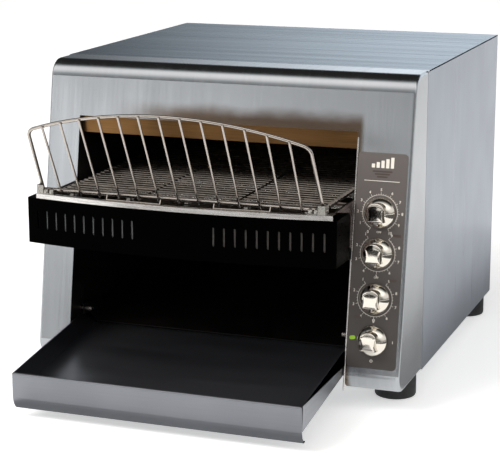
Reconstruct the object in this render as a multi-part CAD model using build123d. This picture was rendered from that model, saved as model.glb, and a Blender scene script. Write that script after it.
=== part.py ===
from build123d import *
import math
import os

# Countertop conveyor toaster, in millimetres.
# Origin: on the counter, in the middle of the whole footprint. +X is the operator's right when
# facing the machine, +Y runs from the front to the back, +Z is up.

# Cabinet
BODY_HALF = 254.0          # half of the cabinet's width
BODY_TOP = 430.0           # top of the cabinet above the counter
BODY_BOTTOM = 30.0         # underside of the cabinet, which is the height of the feet
BODY_BACK = 347.5
SEAM_Y = -78.5             # joint between the front bezel and the side panels
SHEET = 1.5                # thickness of every steel sheet
GAP = 0.3                  # clearance between neighbouring sheets

# Sloping front face
FACE_TOP_Y = SEAM_Y - 54.2  # where the face's plane meets the height of the top
FACE_TILT = 9.52           # degrees that the face leans back from vertical
TOP_BEND = 25.0
BOTTOM_BEND = 22.0
FACE_EDGE = 4.0            # rounding between the face and its side flanges
OPEN_LEFT = -208.0
OPEN_RIGHT = 181.5
OPEN_TOP = 357.8
LANE_X = (OPEN_LEFT + OPEN_RIGHT) / 2

CHAMBER_HALF = (OPEN_RIGHT - OPEN_LEFT) / 2
SIDE_FLANGE = 12.0         # width of the folded edges of the side panels
TOP_LAP = 7.5              # how far the bezel reaches back over the seam at the top

# Toasting chamber
WALL_TOP = 396.0
CHAMBER_BACK = 344.2
REFLECTOR_Z = 376.0
REFLECTOR_BACK = 341.0
HOOD_Y = -137.0
HOOD_BOTTOM = 334.5
HOOD_RETURN = 12.0
TOP_TUBE_RADIUS = 6.0
TOP_TUBE_Z = 358.0
TOP_TUBE_YS = [-60.0 + 52.0 * i for i in range(6)]
BOTTOM_TUBE_RADIUS = 4.5
BOTTOM_TUBE_Z = 255.0
BOTTOM_TUBE_YS = [-120.0 + 70.0 * i for i in range(5)]
TUBE_OVERHANG = 14.0       # how far a heater tube passes through each chamber wall
CAP_LENGTH = 12.0
CAP_WALL = 3.5
TUBE_CLEARANCE = 0.3
THIN_SHEET = 1.2           # thickness of the reflector under the belt's heaters
LOWER_REFLECTOR_Y = (-205.0, 195.0)
LOWER_REFLECTOR_Z = 236.0

# Conveyor
BELT_WIDTH = 368.0
BELT_TOP = 276.0
BELT_THICKNESS = 3.0
BELT_RADIUS = 27.0         # outside radius of the belt round its end wheels
BELT_PITCH = 12.7
BELT_BAYS = 3
IDLER_Y = -243.5
DRIVE_Y = 231.5
SHAFT_Z = BELT_TOP - BELT_RADIUS
SHAFT_RADIUS = 6.0
RUNNING_CLEARANCE = 0.05
WHEEL_COUNT = 5
WHEEL_SPACING = 80.0
WHEEL_TEETH = 12
WHEEL_TIP = BELT_RADIUS - BELT_THICKNESS - 0.6
WHEEL_ROOT = 20.0
WHEEL_WIDTH = 5.0
HUB_RADIUS = 11.0
HUB_WIDTH = 14.0
RAIL_OUT = 189.75          # outer side of a conveyor rail, from the lane's centre
RAIL_SHEET = 2.0
RAIL_Z = (226.0, 270.0)
RAIL_FRONT_REACH = 17.0    # how far a rail runs past the idler shaft
RAIL_REAR_REACH = 19.0     # and past the drive shaft
RAIL_FLANGE_FRONT = -125.0
GRID_SPACING = 120.0       # between the long bars under the belt
GRID_TOP = BELT_TOP - BELT_THICKNESS - 0.2
GRID_BAR_HEIGHT = 5.0
GRID_BAR_HALF = 2.0        # half of a long bar's width
GRID_ROD_RADIUS = 2.5
GRID_ROD_YS = (-155.0, 125.0)
SHAFT_STUB = 8.5           # drive shaft beyond the left chamber wall
IDLER_STUB = 2.6
PRESS_GAP = 0.02           # radial gap of a part pressed or pinned on its shaft
BEARING_RADIUS = 9.0
BEARING_FLANGE = 14.0
BEARING_FLANGE_SHEET = 2.5
BEARING_LENGTH = 6.5

# Chain drive, in the service space on the right
CHAIN_PITCH = 6.35
CHAIN_X = 190.5
CHAIN_HALF_HEIGHT = 2.8
DRIVEN_TEETH = 30
MOTOR_TEETH = 12
SPROCKET_WIDTH = 2.6
LINK_SHEET = 0.9
TOOTH_DEPTH = 1.6
TOOTH_RISE = 1.9
MOTOR_SHAFT_Z = 130.0
MOTOR_SHAFT_RADIUS = 4.0
MOTOR_SHAFT_DEPTH = 14.0   # how far the output shaft reaches into the gearbox
GEARBOX_X = (199.0, 221.0)
GEARBOX_HALF = 34.0
GEARBOX_BELOW = 22.0
GEARBOX_ABOVE = 62.0
GEARBOX_FEET = [(y, z) for y in (-29.0, 29.0) for z in (-14.0, 54.0)]
MOTOR_RISE = 26.0          # motor's axis above the output shaft
STACK_LENGTH = 20.0
STACK_RADIUS = 31.0
BELL_RADIUS = 27.0
MOTOR_END_X = 250.5

# Nose that carries the front of the belt
NOSE_HALF = 208.0
NOSE_Y = -275.5            # front of the nose at its two ends
NOSE_BOW = 19.0            # how far the middle of the nose stands ahead of its ends
COVER_BOTTOM = 211.5
COVER_TOP = 271.0
COVER_RETURN = 55.0
COVER_LIP = 14.0
COVER_CORNER = 8.0
STRIP_TOP = 277.0
STRIP_FLANGE = 8.0
STRIP_ENDS = (194.45, 203.0)  # left and right end of the strip, from the lane's centre
STRIP_RETURN = 14.0        # how far the strip is folded back at its ends
STRIP_WIRE = 0.7           # radius of the two wires that lie along the strip's rear edge
STRIP_WIRES = ((-93.0, -18.5), (52.5, 124.0))  # their ends, from the lane's centre
STRIP_WIRE_IN = 7.0        # how far they lie behind the strip's front
STRIP_WIRE_TIP = (3.0, 5.0)  # how far their ends are turned back and up
SLOT_FIRST = 54.5
SLOT_PITCH = 13.85
SLOTS_PER_SIDE = 11
SLOT_WIDTH = 2.8
SLOT_Z = (231.0, 255.0)
BRACKET_HALF = CHAMBER_HALF - GAP  # outer side of each bracket, from the lane's centre
BRACKET_FRONT = -271.5
BRACKET_BACK = -130.0
BRACKET_TOP = 272.5        # behind the strip's return

# Wire loading rack
RACK_Y = -268.5            # hinge line of the rack
RACK_Z = 281.5
RACK_LEAN = 27.7           # degrees forward of vertical
RACK_WIRE = 2.2            # radius of the frame wire
HINGE_WIRE = 2.5           # radius of the wire that the rack turns on
RACK_BAR = 1.5             # radius of the bars
RACK_HALF = 188.6
RACK_TOP_HALF = 185.6
RACK_CORNER = 14.0
RACK_APEX = 128.0
RACK_ARCH = 533.0          # radius of the arched top wire
RACK_BARS = 13
RACK_BAR_PITCH = 27.0
BAR_DROP = 4.0             # bars below the hinge wire
BAR_RISE = 2.4             # bars above the arched wire
WELD_DEPTH = 0.5           # how far a bar is sunk into the frame wire
LUG_IN = 191.5             # inner face of each hinge lug, from the lane's centre
LUG_SHEET = 2.0
LUG_FOOT = 21.5
LUG_TOP = RACK_Z + 7.0
CAP_NUTS = (10.0, 17.5)    # nuts' distances in from the lug's inner face

# Toast tray, chute and crumb tray
TRAY_HALF = CHAMBER_HALF - 1.5
TRAY_FRONT = -361.5
TRAY_TILT = 7.0            # degrees that the tray's floor drops towards the front
TRAY_FLOOR_FRONT = 29.3    # underside of the floor at the front panel
TRAY_DEPTH = 31.7
TRAY_BACK = -105.0
TRAY_GRIP_TOP = 31.5       # where the front panel starts to curl under
TRAY_LIP = 5.0
TRAY_ROLL = 2.0
TRAY_GRIP_BEND = 24.0
TRAY_GRIP_TURN = 45.0
TRAY_STEP = -165.0         # where the sides start to drop towards the back
TRAY_REAR_DROP = 4.0
PIN_Y = -153.0
PIN_Z = 91.5
PIN_RADIUS = 3.5
PIN_REACH = 17.0
PIN_SLOT = 31.0
CHUTE_HALF = 190.0
CHUTE_FRONT = (-118.0, 64.0)
CHUTE_TILT = 11.0
CHUTE_BACK = 338.0
CHUTE_BEND = 80.0
CHUTE_TOP = 262.0
CHUTE_FLANGE = 18.0
CHUTE_EAR = 7.0            # half the size of the ears that hang on the pins
CRUMB_FRONT = -200.0
CRUMB_BACK = 235.0
CRUMB_Z = (197.0, 209.0)
CRUMB_HALF = 188.0
CRUMB_LEDGE_FRONT = -165.0
CRUMB_LEDGE = 9.0
CRUMB_GRIP = 12.0
CRUMB_GRIP_HALF = 60.0
REST_Y = -130.0            # front edge of the base pan, where the toast tray rests
REST_DEPTH = 16.0
PAN_FLANGE = 16.0

# Controls on the right-hand column
OVERLAY_X = (184.0, 249.0)
OVERLAY_Z = (62.7, 333.5)
OVERLAY_SHEET = 0.6
KNOB_X = 216.5
KNOB_Z = {"speed": 259.0, "top_heat": 208.0, "bottom_heat": 151.0, "power": 98.0}
KNOB_RADIUS = 21.0
KNOB_HEIGHT = 26.0
KNOB_REST = OVERLAY_SHEET + 0.5
SPINDLE_DEPTH = 14.0
SPINDLE_RADIUS = 3.0
BUSH_RADIUS = 4.8
CASE_DROP = 6.0            # front of a control's case behind the face
CASE_SIZE = (34.0, 36.0)
PANEL_NUT = 8.0
TERMINAL = (6.3, 0.8, 8.0)
CONTROL_DEPTH = {"speed": 22.0, "top_heat": 30.0, "bottom_heat": 30.0, "power": 44.0}

# Feet
FOOT_X = 224.0
FOOT_YS = {"front": -99.5, "rear": 314.5}
FOOT_RADIUS = 27.5
FOOT_BORE = 5.2
FOOT_RECESS = (13.0, 12.0) # radius and height of the hollow for the bolt's head
BOLT_START = 5.5
HEX_RADIUS = 9.5

# Rear equipment
SCREW_RADIUS = 2.0
SCREW_ZS = (60.0, 170.0, 280.0, 390.0)
SCREW_X = 246.0
VENT_ROWS = 9
VENT_SIZE = (150.0, 6.0)
VENT_FIRST = 285.0
VENT_PITCH = 14.0
VENT_X = 95.0
FAN_SIZE = 80.0
FAN_DEPTH = 25.0
FAN_BORE = 38.0
FAN_HOLE = 35.75           # fixing holes from the fan's axis
FAN_BLADES = 7
FAN_BLADE_TIP = 36.5
FAN_BLADE_PITCH = 42.0
HUB_START = 2.5
ROTOR_LENGTH = 18.0
FAN_PIN = 3.0
GUARD_WIRE = 0.9
GUARD_RINGS = (10.0, 18.0, 26.0, 34.0)
GUARD_PAD = 50.5
FAN_X = LANE_X
FAN_Z = 92.0
GLAND_X = 217.0
GLAND_Z = 75.0
GLAND_END = 361.5
GLAND_BORE = 5.5
GLAND_THREAD = 10.0
GLAND_HEX = 14.0
GLAND_INSIDE = 12.0


def block(xs, ys, zs):
    """Box between two limits on each axis."""
    centre = Pos(sum(xs) / 2, sum(ys) / 2, sum(zs) / 2)
    return centre * Box(xs[1] - xs[0], ys[1] - ys[0], zs[1] - zs[0])


def rod(start, end, radius):
    """Round bar from one point to another."""
    axis = Vector(*end) - Vector(*start)
    seat = Plane(origin=start, z_dir=axis)
    return seat * Cylinder(radius, axis.length, align=(Align.CENTER, Align.CENTER, Align.MIN))


def along_x(outline, x0, x1):
    """Extrude an outline drawn in Y and Z from x0 to x1."""
    return extrude(Plane.YZ.offset(x0) * outline, amount=x1 - x0)


def polygon(points):
    """Closed outline through the points."""
    return make_face(Polyline(*points, close=True))


def across(part):
    """Mirror a part to the other side of the conveyor lane."""
    return mirror(part, about=Plane.YZ.offset(LANE_X))


def lane(half_in, half_out, ys, zs):
    """The same box on both sides of the lane, measured out from its centre."""
    left = block((LANE_X - half_out, LANE_X - half_in), ys, zs)
    return left + across(left)


def face_y(z):
    """Y of the sloping front face at height z."""
    return FACE_TOP_Y - math.tan(math.radians(FACE_TILT)) * (BODY_TOP - z)


def face_plane(x, z):
    """Plane on the front face: its normal points out of the face, its Y runs up the face."""
    tilt = math.radians(FACE_TILT)
    return Plane(origin=(x, face_y(z), z), x_dir=(1, 0, 0), z_dir=(0, -math.cos(tilt), math.sin(tilt)))


def bezel_outline(inset, rear):
    """Side view of the bezel, drawn in by the inset, closed at the rear."""
    shift = inset / math.cos(math.radians(FACE_TILT))
    top = BODY_TOP - inset
    bottom = BODY_BOTTOM + inset
    corners = [(rear, top), (face_y(top) + shift, top), (face_y(bottom) + shift, bottom), (rear, bottom)]
    path = FilletPolyline(*corners, radius=[TOP_BEND - inset, BOTTOM_BEND - inset])
    return make_face(path + Line(corners[-1], corners[0]))


def nose_outline(inset, back):
    """Plan view of the nose: a bowed front and two straight sides, back to a given y."""
    left = LANE_X - NOSE_HALF + inset
    right = LANE_X + NOSE_HALF - inset
    front = NOSE_Y + inset
    bow = ThreePointArc((left, front), (LANE_X, front - NOSE_BOW), (right, front))
    sides = Polyline((right, front), (right, back), (left, back), (left, front))
    return make_face(bow + sides)


def nose_front(x):
    """Y of the nose's bowed front at a distance x from the lane's centre."""
    radius = (NOSE_HALF ** 2 + NOSE_BOW ** 2) / (2 * NOSE_BOW)
    return NOSE_Y - NOSE_BOW + radius - math.sqrt(radius ** 2 - x ** 2)


def nose_part(inset, back, left, right):
    """Plan view of the nose between two distances from the lane's centre, both drawn in by the inset."""
    x0, x1 = LANE_X - left + inset, LANE_X + right - inset
    keep = Pos((x0 + x1) / 2, back) * Rectangle(x1 - x0, 2 * (back - NOSE_Y + NOSE_BOW + 1))
    return nose_outline(inset, back) & keep


def tray_floor(y):
    """Underside of the toast tray's floor at y."""
    return TRAY_FLOOR_FRONT + math.tan(math.radians(TRAY_TILT)) * (y - TRAY_FRONT)


def toothed_disc(teeth, root, tip, width):
    """Disc with straight-sided teeth, centred on its own axis."""
    points = []
    for tooth in range(teeth):
        for share, radius in ((-0.34, root), (-0.16, tip), (0.16, tip), (0.34, root)):
            angle = 2 * math.pi * (tooth + share) / teeth
            points.append((radius * math.cos(angle), radius * math.sin(angle)))
    return extrude(polygon(points), amount=width / 2, both=True)


def turned(points):
    """Solid of revolution about Z from radius and height points."""
    return revolve(Plane.XZ * polygon(points), axis=Axis.Z)


def facing_x(x, y, z):
    """Place whose Z axis lies along +X at a point."""
    return Plane(origin=(x, y, z), x_dir=(0, 1, 0), z_dir=(1, 0, 0))


# Cabinet sheets


def front_bezel():
    width = 2 * BODY_HALF
    skin = along_x(bezel_outline(0, SEAM_Y), -BODY_HALF, BODY_HALF)
    side_edges = skin.edges().filter_by(lambda e: abs(e.center().X) > width / 2 - 0.1)
    skin = fillet(side_edges.filter_by(lambda e: e.center().Y < SEAM_Y - 0.1), FACE_EDGE)
    hollow = along_x(bezel_outline(SHEET, SEAM_Y + 1), SHEET - BODY_HALF, BODY_HALF - SHEET)
    hollow_edges = hollow.edges().filter_by(lambda e: abs(e.center().X) > width / 2 - SHEET - 0.1)
    hollow = fillet(hollow_edges.filter_by(lambda e: e.center().Y < SEAM_Y), FACE_EDGE - SHEET)
    bezel = skin - hollow
    bezel += block((-BODY_HALF, BODY_HALF), (SEAM_Y, SEAM_Y + TOP_LAP), (BODY_TOP - SHEET, BODY_TOP))
    bezel -= block((OPEN_LEFT, OPEN_RIGHT), (face_y(0) - 10, SEAM_Y + 1), (0, OPEN_TOP))
    for z in KNOB_Z.values():
        bezel -= face_plane(KNOB_X, z) * Cylinder(BUSH_RADIUS + 0.2, 4 * SHEET)
    for x in (-FOOT_X, FOOT_X):
        bezel -= Pos(x, FOOT_YS["front"], BODY_BOTTOM) * Cylinder(FOOT_BORE, 4 * SHEET)
    return bezel


def top_cover():
    front = SEAM_Y + TOP_LAP + GAP
    inside = BODY_HALF - SHEET - GAP
    margin = 8.0
    cover = block((-BODY_HALF, BODY_HALF), (front, BODY_BACK), (BODY_TOP - SHEET, BODY_TOP))
    sides = (front + margin, BODY_BACK - margin)
    for x0, x1 in ((-inside, SHEET - inside), (inside - SHEET, inside)):
        cover += block((x0, x1), sides, (BODY_TOP - PAN_FLANGE, BODY_TOP - SHEET))
    return cover


def right_side_panel():
    inner = BODY_HALF - SHEET
    front = SEAM_Y + 1.0
    top = BODY_TOP - SHEET - GAP
    back = BODY_BACK - SHEET
    flange = (BODY_BOTTOM + 5, top - PAN_FLANGE)
    panel = block((inner, BODY_HALF), (front, BODY_BACK), (BODY_BOTTOM, top))
    panel += block((inner - SIDE_FLANGE, inner), (front, front + SHEET), flange)
    panel += block((inner - SIDE_FLANGE, inner), (back - SHEET, back), flange)
    for x, z in rear_screw_places():
        panel -= rod((x, back - 5, z), (x, back + 1, z), SCREW_RADIUS + 0.1)
    return panel


def left_side_panel():
    return mirror(right_side_panel(), about=Plane.YZ)


def rear_panel():
    inside = BODY_HALF - SHEET - GAP
    back = (BODY_BACK - SHEET, BODY_BACK)
    panel = block((-inside, inside), back, (BODY_BOTTOM + 2, BODY_TOP - SHEET - GAP))
    for column in (-1, 1):
        for row in range(VENT_ROWS):
            slot = Pos(LANE_X + column * VENT_X, BODY_BACK, VENT_FIRST + row * VENT_PITCH) * Rot(X=90)
            panel -= slot * extrude(SlotOverall(*VENT_SIZE), amount=5, both=True)
    panel -= rod((FAN_X, back[0] - 1, FAN_Z), (FAN_X, BODY_BACK + 1, FAN_Z), FAN_BORE)
    panel -= rod((GLAND_X, back[0] - 1, GLAND_Z), (GLAND_X, BODY_BACK + 1, GLAND_Z), GLAND_THREAD + 0.1)
    for x, z in rear_screw_places():
        panel -= rod((x, back[0] - 1, z), (x, BODY_BACK + 1, z), SCREW_RADIUS + 0.1)
    return panel


def rear_screw_places():
    """X and Z of the screws that hold the rear panel to the side panels."""
    return [(x, z) for x in (-SCREW_X, SCREW_X) for z in SCREW_ZS]


def rear_panel_screws():
    screws = []
    for x, z in rear_screw_places():
        shank = rod((x, BODY_BACK - 5, z), (x, BODY_BACK, z), SCREW_RADIUS)
        head = Plane(origin=(x, BODY_BACK, z), z_dir=(0, 1, 0)) * turned(
            [(0, 0), (3.9, 0), (3.6, 1.3), (2.4, 2.2), (0, 2.4)])
        screws.append(shank + head)
    return Compound(children=screws)


def base_pan():
    inside = BODY_HALF - SHEET - GAP
    floor = (BODY_BOTTOM, BODY_BOTTOM + SHEET)
    pan = block((-inside, inside), (SEAM_Y + GAP, BODY_BACK - 2 * SHEET), floor)
    pan += block((OPEN_LEFT + 1, OPEN_RIGHT - 1), (REST_Y, SEAM_Y + GAP), floor)
    sides = (SEAM_Y + 4, BODY_BACK - PAN_FLANGE)
    for x0, x1 in ((-inside, SHEET - inside), (inside - SHEET, inside)):
        pan += block((x0, x1), sides, (BODY_BOTTOM, BODY_BOTTOM + PAN_FLANGE))
    pan += along_x(tray_rest_outline(), OPEN_LEFT + 1, OPEN_RIGHT - 1)
    for x in (-FOOT_X, FOOT_X):
        pan -= Pos(x, FOOT_YS["rear"], BODY_BOTTOM) * Cylinder(FOOT_BORE, 4 * SHEET)
    return pan


def tray_rest_outline():
    """Side view of the folded edge that the toast tray rests on: an upright and a sloping lip."""
    back = REST_Y + REST_DEPTH
    front_top = tray_floor(REST_Y) - GAP
    back_top = tray_floor(back) - GAP
    return polygon([(REST_Y, BODY_BOTTOM), (REST_Y, front_top), (back, back_top), (back, back_top - SHEET),
                    (REST_Y + SHEET, front_top - SHEET), (REST_Y + SHEET, BODY_BOTTOM)])


def rubber_feet():
    """Four feet, each with a rounded lower rim and a hollow for the bolt's head."""
    recess, depth = FOOT_RECESS
    foot = turned([
        (FOOT_BORE, BODY_BOTTOM), (FOOT_BORE, depth), (recess, depth), (recess, 0), (FOOT_RADIUS - 3, 0),
        (FOOT_RADIUS - 0.9, 0.9), (FOOT_RADIUS, 3), (FOOT_RADIUS, BODY_BOTTOM)])
    return Compound(children=[Pos(x, y, 0) * foot for y in FOOT_YS.values() for x in (-FOOT_X, FOOT_X)])


def foot_bolts():
    bolts = []
    for y in FOOT_YS.values():
        for x in (-FOOT_X, FOOT_X):
            bolt = rod((x, y, BOLT_START), (x, y, BODY_BOTTOM + 12), FOOT_BORE - 0.2)
            head = Pos(x, y, BOLT_START) * extrude(RegularPolygon(HEX_RADIUS, 6), amount=6.5)
            nut = Pos(x, y, BODY_BOTTOM + SHEET) * extrude(RegularPolygon(HEX_RADIUS, 6), amount=7)
            bolts.append(bolt + head + nut)
    return Compound(children=bolts)


# Toasting chamber


def left_inner_wall():
    x0 = OPEN_LEFT - SHEET
    x1 = OPEN_LEFT
    outline = bezel_outline(SHEET + GAP, CHAMBER_BACK)
    wall = along_x(outline, x0, x1)
    wall -= block((x0 - 1, x1 + 1), (face_y(0), CHAMBER_BACK + 1), (WALL_TOP, BODY_TOP))
    wall += block((x0 - 10, x0), (CHAMBER_BACK - SHEET, CHAMBER_BACK), (60, WALL_TOP - 20))
    ledge = (CRUMB_Z[0] - SHEET - GAP, CRUMB_Z[0] - GAP)
    ledge_x = (x1, LANE_X - CRUMB_HALF + CRUMB_LEDGE)
    wall += block(ledge_x, (CRUMB_LEDGE_FRONT, CRUMB_BACK + 5), ledge)
    for y, z, radius in tube_rows():
        wall -= rod((x0 - 1, y, z), (x1 + 1, y, z), radius + TUBE_CLEARANCE)
    wall -= rod((x0 - 1, DRIVE_Y, SHAFT_Z), (x1 + 1, DRIVE_Y, SHAFT_Z), BEARING_RADIUS)
    slot = SlotCenterToCenter(PIN_SLOT, 2 * PIN_RADIUS + 0.4, rotation=90)
    wall -= along_x(Pos(PIN_Y, PIN_Z + PIN_SLOT / 2) * slot, x0 - 1, x1 + 1)
    return wall


def right_inner_wall():
    return across(left_inner_wall())


def inner_hood():
    half = CHAMBER_HALF - GAP
    hood = lane(0, half, (HOOD_Y, HOOD_Y + SHEET), (HOOD_BOTTOM, REFLECTOR_Z - GAP))
    hood += lane(0, half, (HOOD_Y, HOOD_Y + HOOD_RETURN), (HOOD_BOTTOM, HOOD_BOTTOM + SHEET))
    return hood


def top_reflector():
    half = CHAMBER_HALF - GAP
    roof = lane(0, half, (HOOD_Y, REFLECTOR_BACK), (REFLECTOR_Z, REFLECTOR_Z + SHEET))
    roof += lane(0, half, (REFLECTOR_BACK - SHEET, REFLECTOR_BACK), (CHUTE_TOP + 2, REFLECTOR_Z))
    roof += lane(half - SHEET, half, (HOOD_Y, REFLECTOR_BACK), (REFLECTOR_Z, WALL_TOP - 6))
    return roof


def tube_rows():
    """Y, Z and radius of every heater tube."""
    rows = [(y, TOP_TUBE_Z, TOP_TUBE_RADIUS) for y in TOP_TUBE_YS]
    return rows + [(y, BOTTOM_TUBE_Z, BOTTOM_TUBE_RADIUS) for y in BOTTOM_TUBE_YS]


def heater_tubes(ys, z, radius):
    """Quartz tubes that pass through both chamber walls."""
    reach = CHAMBER_HALF + SHEET + TUBE_OVERHANG
    tubes = []
    for y in ys:
        tubes.append(rod((LANE_X - reach, y, z), (LANE_X + reach, y, z), radius))
    return Compound(children=tubes)


def top_heaters():
    return heater_tubes(TOP_TUBE_YS, TOP_TUBE_Z, TOP_TUBE_RADIUS)


def bottom_heaters():
    return heater_tubes(BOTTOM_TUBE_YS, BOTTOM_TUBE_Z, BOTTOM_TUBE_RADIUS)


def heater_end_caps():
    """Ceramic cap on each end of each tube, outside the chamber walls."""
    start = LANE_X - CHAMBER_HALF - SHEET
    end = start - CAP_LENGTH
    caps = []
    for y, z, radius in tube_rows():
        cap = rod((start, y, z), (end, y, z), radius + CAP_WALL)
        cap -= rod((start + 1, y, z), (end - 1, y, z), radius + RUNNING_CLEARANCE)
        caps += [cap, across(cap)]
    return Compound(children=caps)


def bottom_reflector():
    half = RAIL_OUT - RAIL_SHEET - GAP
    low = LOWER_REFLECTOR_Z
    pan = lane(0, half, LOWER_REFLECTOR_Y, (low, low + THIN_SHEET))
    pan += lane(half - THIN_SHEET, half, LOWER_REFLECTOR_Y, (low, low + 8))
    return pan


# Conveyor


def left_conveyor_rail():
    """Channel between the belt and the chamber wall that carries both shafts' ends."""
    x0 = LANE_X - RAIL_OUT
    x1 = x0 + RAIL_SHEET
    ys = (IDLER_Y - RAIL_FRONT_REACH, DRIVE_Y + RAIL_REAR_REACH)
    low, high = RAIL_Z
    rail = block((x0, x1), ys, RAIL_Z)
    for z in (low, high - SHEET):
        rail += block((OPEN_LEFT + GAP, x0), (RAIL_FLANGE_FRONT, ys[1]), (z, z + SHEET))
    for y in (IDLER_Y, DRIVE_Y):
        rail -= rod((x0 - 1, y, SHAFT_Z), (x1 + 1, y, SHAFT_Z), BEARING_RADIUS)
    for y in BOTTOM_TUBE_YS:
        tube_hole = BOTTOM_TUBE_RADIUS + TUBE_CLEARANCE
        rail -= rod((x0 - 1, y, BOTTOM_TUBE_Z), (x1 + 1, y, BOTTOM_TUBE_Z), tube_hole)
    return rail


def right_conveyor_rail():
    return across(left_conveyor_rail())


def belt_support_bars():
    """Three long bars that the upper run of the belt slides on."""
    bars = []
    for x in (LANE_X - GRID_SPACING, LANE_X, LANE_X + GRID_SPACING):
        sides = (x - GRID_BAR_HALF, x + GRID_BAR_HALF)
        bars.append(block(sides, LOWER_REFLECTOR_Y, (GRID_TOP - GRID_BAR_HEIGHT, GRID_TOP)))
    return Compound(children=bars)


def belt_cross_rods():
    """Rods from rail to rail that the long bars lie on."""
    half = RAIL_OUT - RAIL_SHEET
    z = GRID_TOP - GRID_BAR_HEIGHT - GRID_ROD_RADIUS
    rods = [rod((LANE_X - half, y, z), (LANE_X + half, y, z), GRID_ROD_RADIUS) for y in GRID_ROD_YS]
    return Compound(children=rods)


def conveyor_belt():
    """Open belt: a closed loop with cross slots through its two straight runs."""
    length = DRIVE_Y - IDLER_Y
    middle_y = (DRIVE_Y + IDLER_Y) / 2
    loop = SlotCenterToCenter(length, 2 * BELT_RADIUS)
    loop -= SlotCenterToCenter(length, 2 * (BELT_RADIUS - BELT_THICKNESS))
    half = BELT_WIDTH / 2
    belt = along_x(Pos(middle_y, SHAFT_Z) * loop, LANE_X - half, LANE_X + half)
    edge_band = 4.0
    wire = 3.2
    bay = (BELT_WIDTH - 2 * edge_band) / BELT_BAYS
    slot = Box(bay - 5, BELT_PITCH - wire, 3 * BELT_RADIUS)
    places = GridLocations(bay, BELT_PITCH, BELT_BAYS, int(length / BELT_PITCH))
    middle = Pos(LANE_X, middle_y, SHAFT_Z)
    return belt - [middle * place * slot for place in places]


def drive_shaft():
    left = OPEN_LEFT - SHAFT_STUB
    return rod((left, DRIVE_Y, SHAFT_Z), (CHAIN_X + 6, DRIVE_Y, SHAFT_Z), SHAFT_RADIUS)


def idler_shaft():
    reach = RAIL_OUT + IDLER_STUB
    return rod((LANE_X - reach, IDLER_Y, SHAFT_Z), (LANE_X + reach, IDLER_Y, SHAFT_Z), SHAFT_RADIUS)


def belt_wheels(y):
    """Toothed wheels that carry the belt round one shaft."""
    wheels = []
    first = LANE_X - WHEEL_SPACING * (WHEEL_COUNT - 1) / 2
    for index in range(WHEEL_COUNT):
        wheel = toothed_disc(WHEEL_TEETH, WHEEL_ROOT, WHEEL_TIP, WHEEL_WIDTH)
        wheel += Cylinder(HUB_RADIUS, HUB_WIDTH)
        wheel -= Cylinder(SHAFT_RADIUS + PRESS_GAP, 2 * HUB_WIDTH)
        wheels.append(facing_x(first + WHEEL_SPACING * index, y, SHAFT_Z) * wheel)
    return Compound(children=wheels)


def drive_wheels():
    return belt_wheels(DRIVE_Y)


def idler_wheels():
    return belt_wheels(IDLER_Y)


def shaft_bearings():
    """Flanged bushes: the drive shaft's in the chamber walls, the idler shaft's in the rails."""
    bore = SHAFT_RADIUS + RUNNING_CLEARANCE
    barrel = BEARING_RADIUS - PRESS_GAP
    outer = -BEARING_FLANGE_SHEET
    bush = turned([(bore, outer), (BEARING_FLANGE, outer), (BEARING_FLANGE, 0), (barrel, 0),
                   (barrel, BEARING_LENGTH), (bore, BEARING_LENGTH)])
    bushes = []
    for x, y in ((OPEN_LEFT - SHEET, DRIVE_Y), (LANE_X - RAIL_OUT, IDLER_Y)):
        left = facing_x(x, y, SHAFT_Z) * bush
        bushes += [left, across(left)]
    return Compound(children=bushes)


def pitch_radius(teeth):
    """Pitch radius of a chain sprocket."""
    return CHAIN_PITCH / (2 * math.sin(math.pi / teeth))


def chain_sprocket():
    radius = pitch_radius(DRIVEN_TEETH)
    sprocket = toothed_disc(DRIVEN_TEETH, radius - TOOTH_DEPTH, radius + TOOTH_RISE, SPROCKET_WIDTH)
    sprocket += Pos(0, 0, 1.5) * Cylinder(12.0, 6.0)
    sprocket -= Cylinder(SHAFT_RADIUS + PRESS_GAP, 20.0)
    holes = 5
    for hole in range(holes):
        sprocket -= Rot(Z=360 / holes * hole) * Pos(20, 0, 0) * Cylinder(4.5, 10.0)
    return facing_x(CHAIN_X, DRIVE_Y, SHAFT_Z) * sprocket


def motor_sprocket():
    """Small sprocket with the gearbox's output shaft in it."""
    radius = pitch_radius(MOTOR_TEETH)
    sprocket = toothed_disc(MOTOR_TEETH, radius - TOOTH_DEPTH, radius + TOOTH_RISE, SPROCKET_WIDTH)
    sprocket += Pos(0, 0, 2.5) * Cylinder(8.0, 5.0)
    start = -2.0
    length = GEARBOX_X[0] + MOTOR_SHAFT_DEPTH - CHAIN_X - start
    shaft = Cylinder(MOTOR_SHAFT_RADIUS, length, align=(Align.CENTER, Align.CENTER, Align.MIN))
    sprocket += Pos(0, 0, start) * shaft
    return facing_x(CHAIN_X, DRIVE_Y, MOTOR_SHAFT_Z) * sprocket


def drive_chain():
    """The chain's two rows of side plates; the sprocket teeth turn between them."""
    band = chain_loop(CHAIN_HALF_HEIGHT) - chain_loop(-CHAIN_HALF_HEIGHT)
    rows = []
    for side in (-1, 1):
        centre = CHAIN_X + side * (SPROCKET_WIDTH / 2 + 0.8)
        rows.append(along_x(band, centre - LINK_SHEET / 2, centre + LINK_SHEET / 2))
    return Compound(children=rows)


def chain_loop(offset):
    """Outline round both sprockets, a given distance outside their pitch circles."""
    big = Pos(DRIVE_Y, SHAFT_Z) * Circle(pitch_radius(DRIVEN_TEETH) + offset)
    small = Pos(DRIVE_Y, MOTOR_SHAFT_Z) * Circle(pitch_radius(MOTOR_TEETH) + offset)
    return make_hull(big.edges() + small.edges())


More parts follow.
